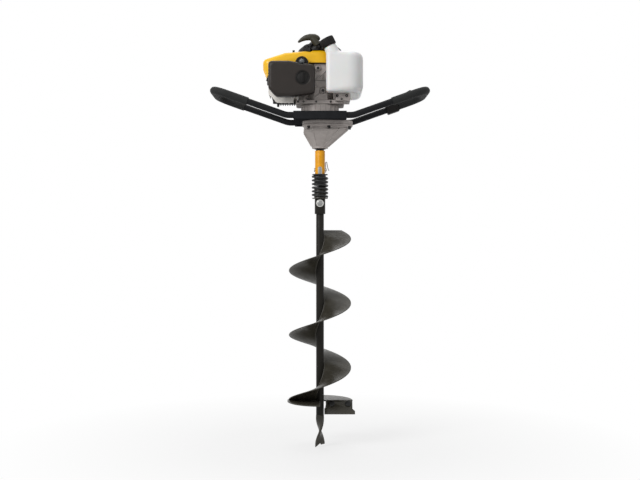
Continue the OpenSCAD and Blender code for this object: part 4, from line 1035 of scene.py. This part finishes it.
def seen_rays(tree):
    """1 for rays that show the background: straight from the camera, in gloss, or through glass."""
    ray = add(tree, "ShaderNodeLightPath")
    total = ray.outputs["Is Camera Ray"]
    for label in ("Is Glossy Ray", "Is Transmission Ray"):
        joined = tree.nodes.new("ShaderNodeMath")
        joined.operation = "MAXIMUM"
        tree.links.new(total, joined.inputs[0])
        tree.links.new(ray.outputs[label], joined.inputs[1])
        total = joined.outputs["Value"]
    return total


def make_floor():
    """A pale floor that keeps the shadow close to the machine and is white further out."""
    mesh = bpy.data.meshes.new("floor")
    side = FLOOR_SIDE
    corners = [(-side, -side, 0), (side, -side, 0), (side, side, 0), (-side, side, 0)]
    mesh.from_pydata(corners, [], [(0, 1, 2, 3)])
    floor = show(bpy.data.objects.new("floor", mesh))
    material = bpy.data.materials.new("pale_floor")
    material.use_nodes = True
    tree = material.node_tree
    main = tree.nodes["Principled BSDF"]
    main.inputs["Base Color"].default_value = FLOOR_TONE
    main.inputs["Roughness"].default_value = 0.9
    main.inputs["Specular IOR Level"].default_value = 0.1
    place = add(tree, "ShaderNodeTexCoord")
    reach = tree.nodes.new("ShaderNodeVectorMath")
    reach.operation = "LENGTH"
    tree.links.new(place.outputs["Object"], reach.inputs[0])
    white_share = spread(tree, reach.outputs["Value"], SHADOW_WHITE, 1.0, SHADOW_FROM, SHADOW_TO)
    white = add(tree, "ShaderNodeEmission", Color=WHITE, Strength=1.0)
    mix = tree.nodes.new("ShaderNodeMixShader")
    tree.links.new(product(tree, seen_rays(tree), white_share), mix.inputs["Fac"])
    tree.links.new(main.outputs["BSDF"], mix.inputs[1])
    tree.links.new(white.outputs["Emission"], mix.inputs[2])
    tree.links.new(mix.outputs["Shader"], tree.nodes["Material Output"].inputs["Surface"])
    mesh.materials.append(material)


def make_world():
    """White where it is seen, a plain grey light to the object."""
    world = bpy.data.worlds.new("studio")
    bpy.context.scene.world = world
    world.use_nodes = True
    tree = world.node_tree
    soft = tree.nodes["Background"]
    soft.inputs["Color"].default_value = WHITE
    soft.inputs["Strength"].default_value = ROOM_LIGHT
    white = add(tree, "ShaderNodeBackground", Color=WHITE, Strength=1.0)
    mix = tree.nodes.new("ShaderNodeMixShader")
    tree.links.new(seen_rays(tree), mix.inputs["Fac"])
    tree.links.new(soft.outputs["Background"], mix.inputs[1])
    tree.links.new(white.outputs["Background"], mix.inputs[2])
    tree.links.new(mix.outputs["Shader"], tree.nodes["World Output"].inputs["Surface"])


def make_lamp(name, place, size, watts):
    """A soft square lamp that faces the middle of the machine."""
    lamp = bpy.data.lights.new(name, "AREA")
    lamp.size = size
    lamp.energy = watts
    obj = show(bpy.data.objects.new(name, lamp))
    obj.location = place
    obj.rotation_euler = (LAMP_TARGET - Vector(place)).to_track_quat("-Z", "Y").to_euler()


def make_camera():
    """A level camera in front of the machine."""
    data = bpy.data.cameras.new("camera")
    data.sensor_width = 36.0
    data.lens = CAMERA_LENS
    data.shift_y = HORIZON_SHIFT
    camera = show(bpy.data.objects.new("camera", data))
    camera.location = CAMERA_PLACE
    camera.rotation_euler = (math.radians(90), 0, 0)
    bpy.context.scene.camera = camera


for node_name, node in frame["nodes"].items():
    for material_slot in node.material_slots:
        material_slot.material = MATERIALS[NODE_SLOT[node_name]]

make_bit()
make_drive()
make_castings()
make_casting_ribs()
make_webs()
make_handle()
make_covers()
make_rope()
make_screws()
make_floor()
make_world()
for lamp in LAMPS:
    make_lamp(*lamp)
make_camera()
bpy.context.scene.view_settings.view_transform = "Standard"
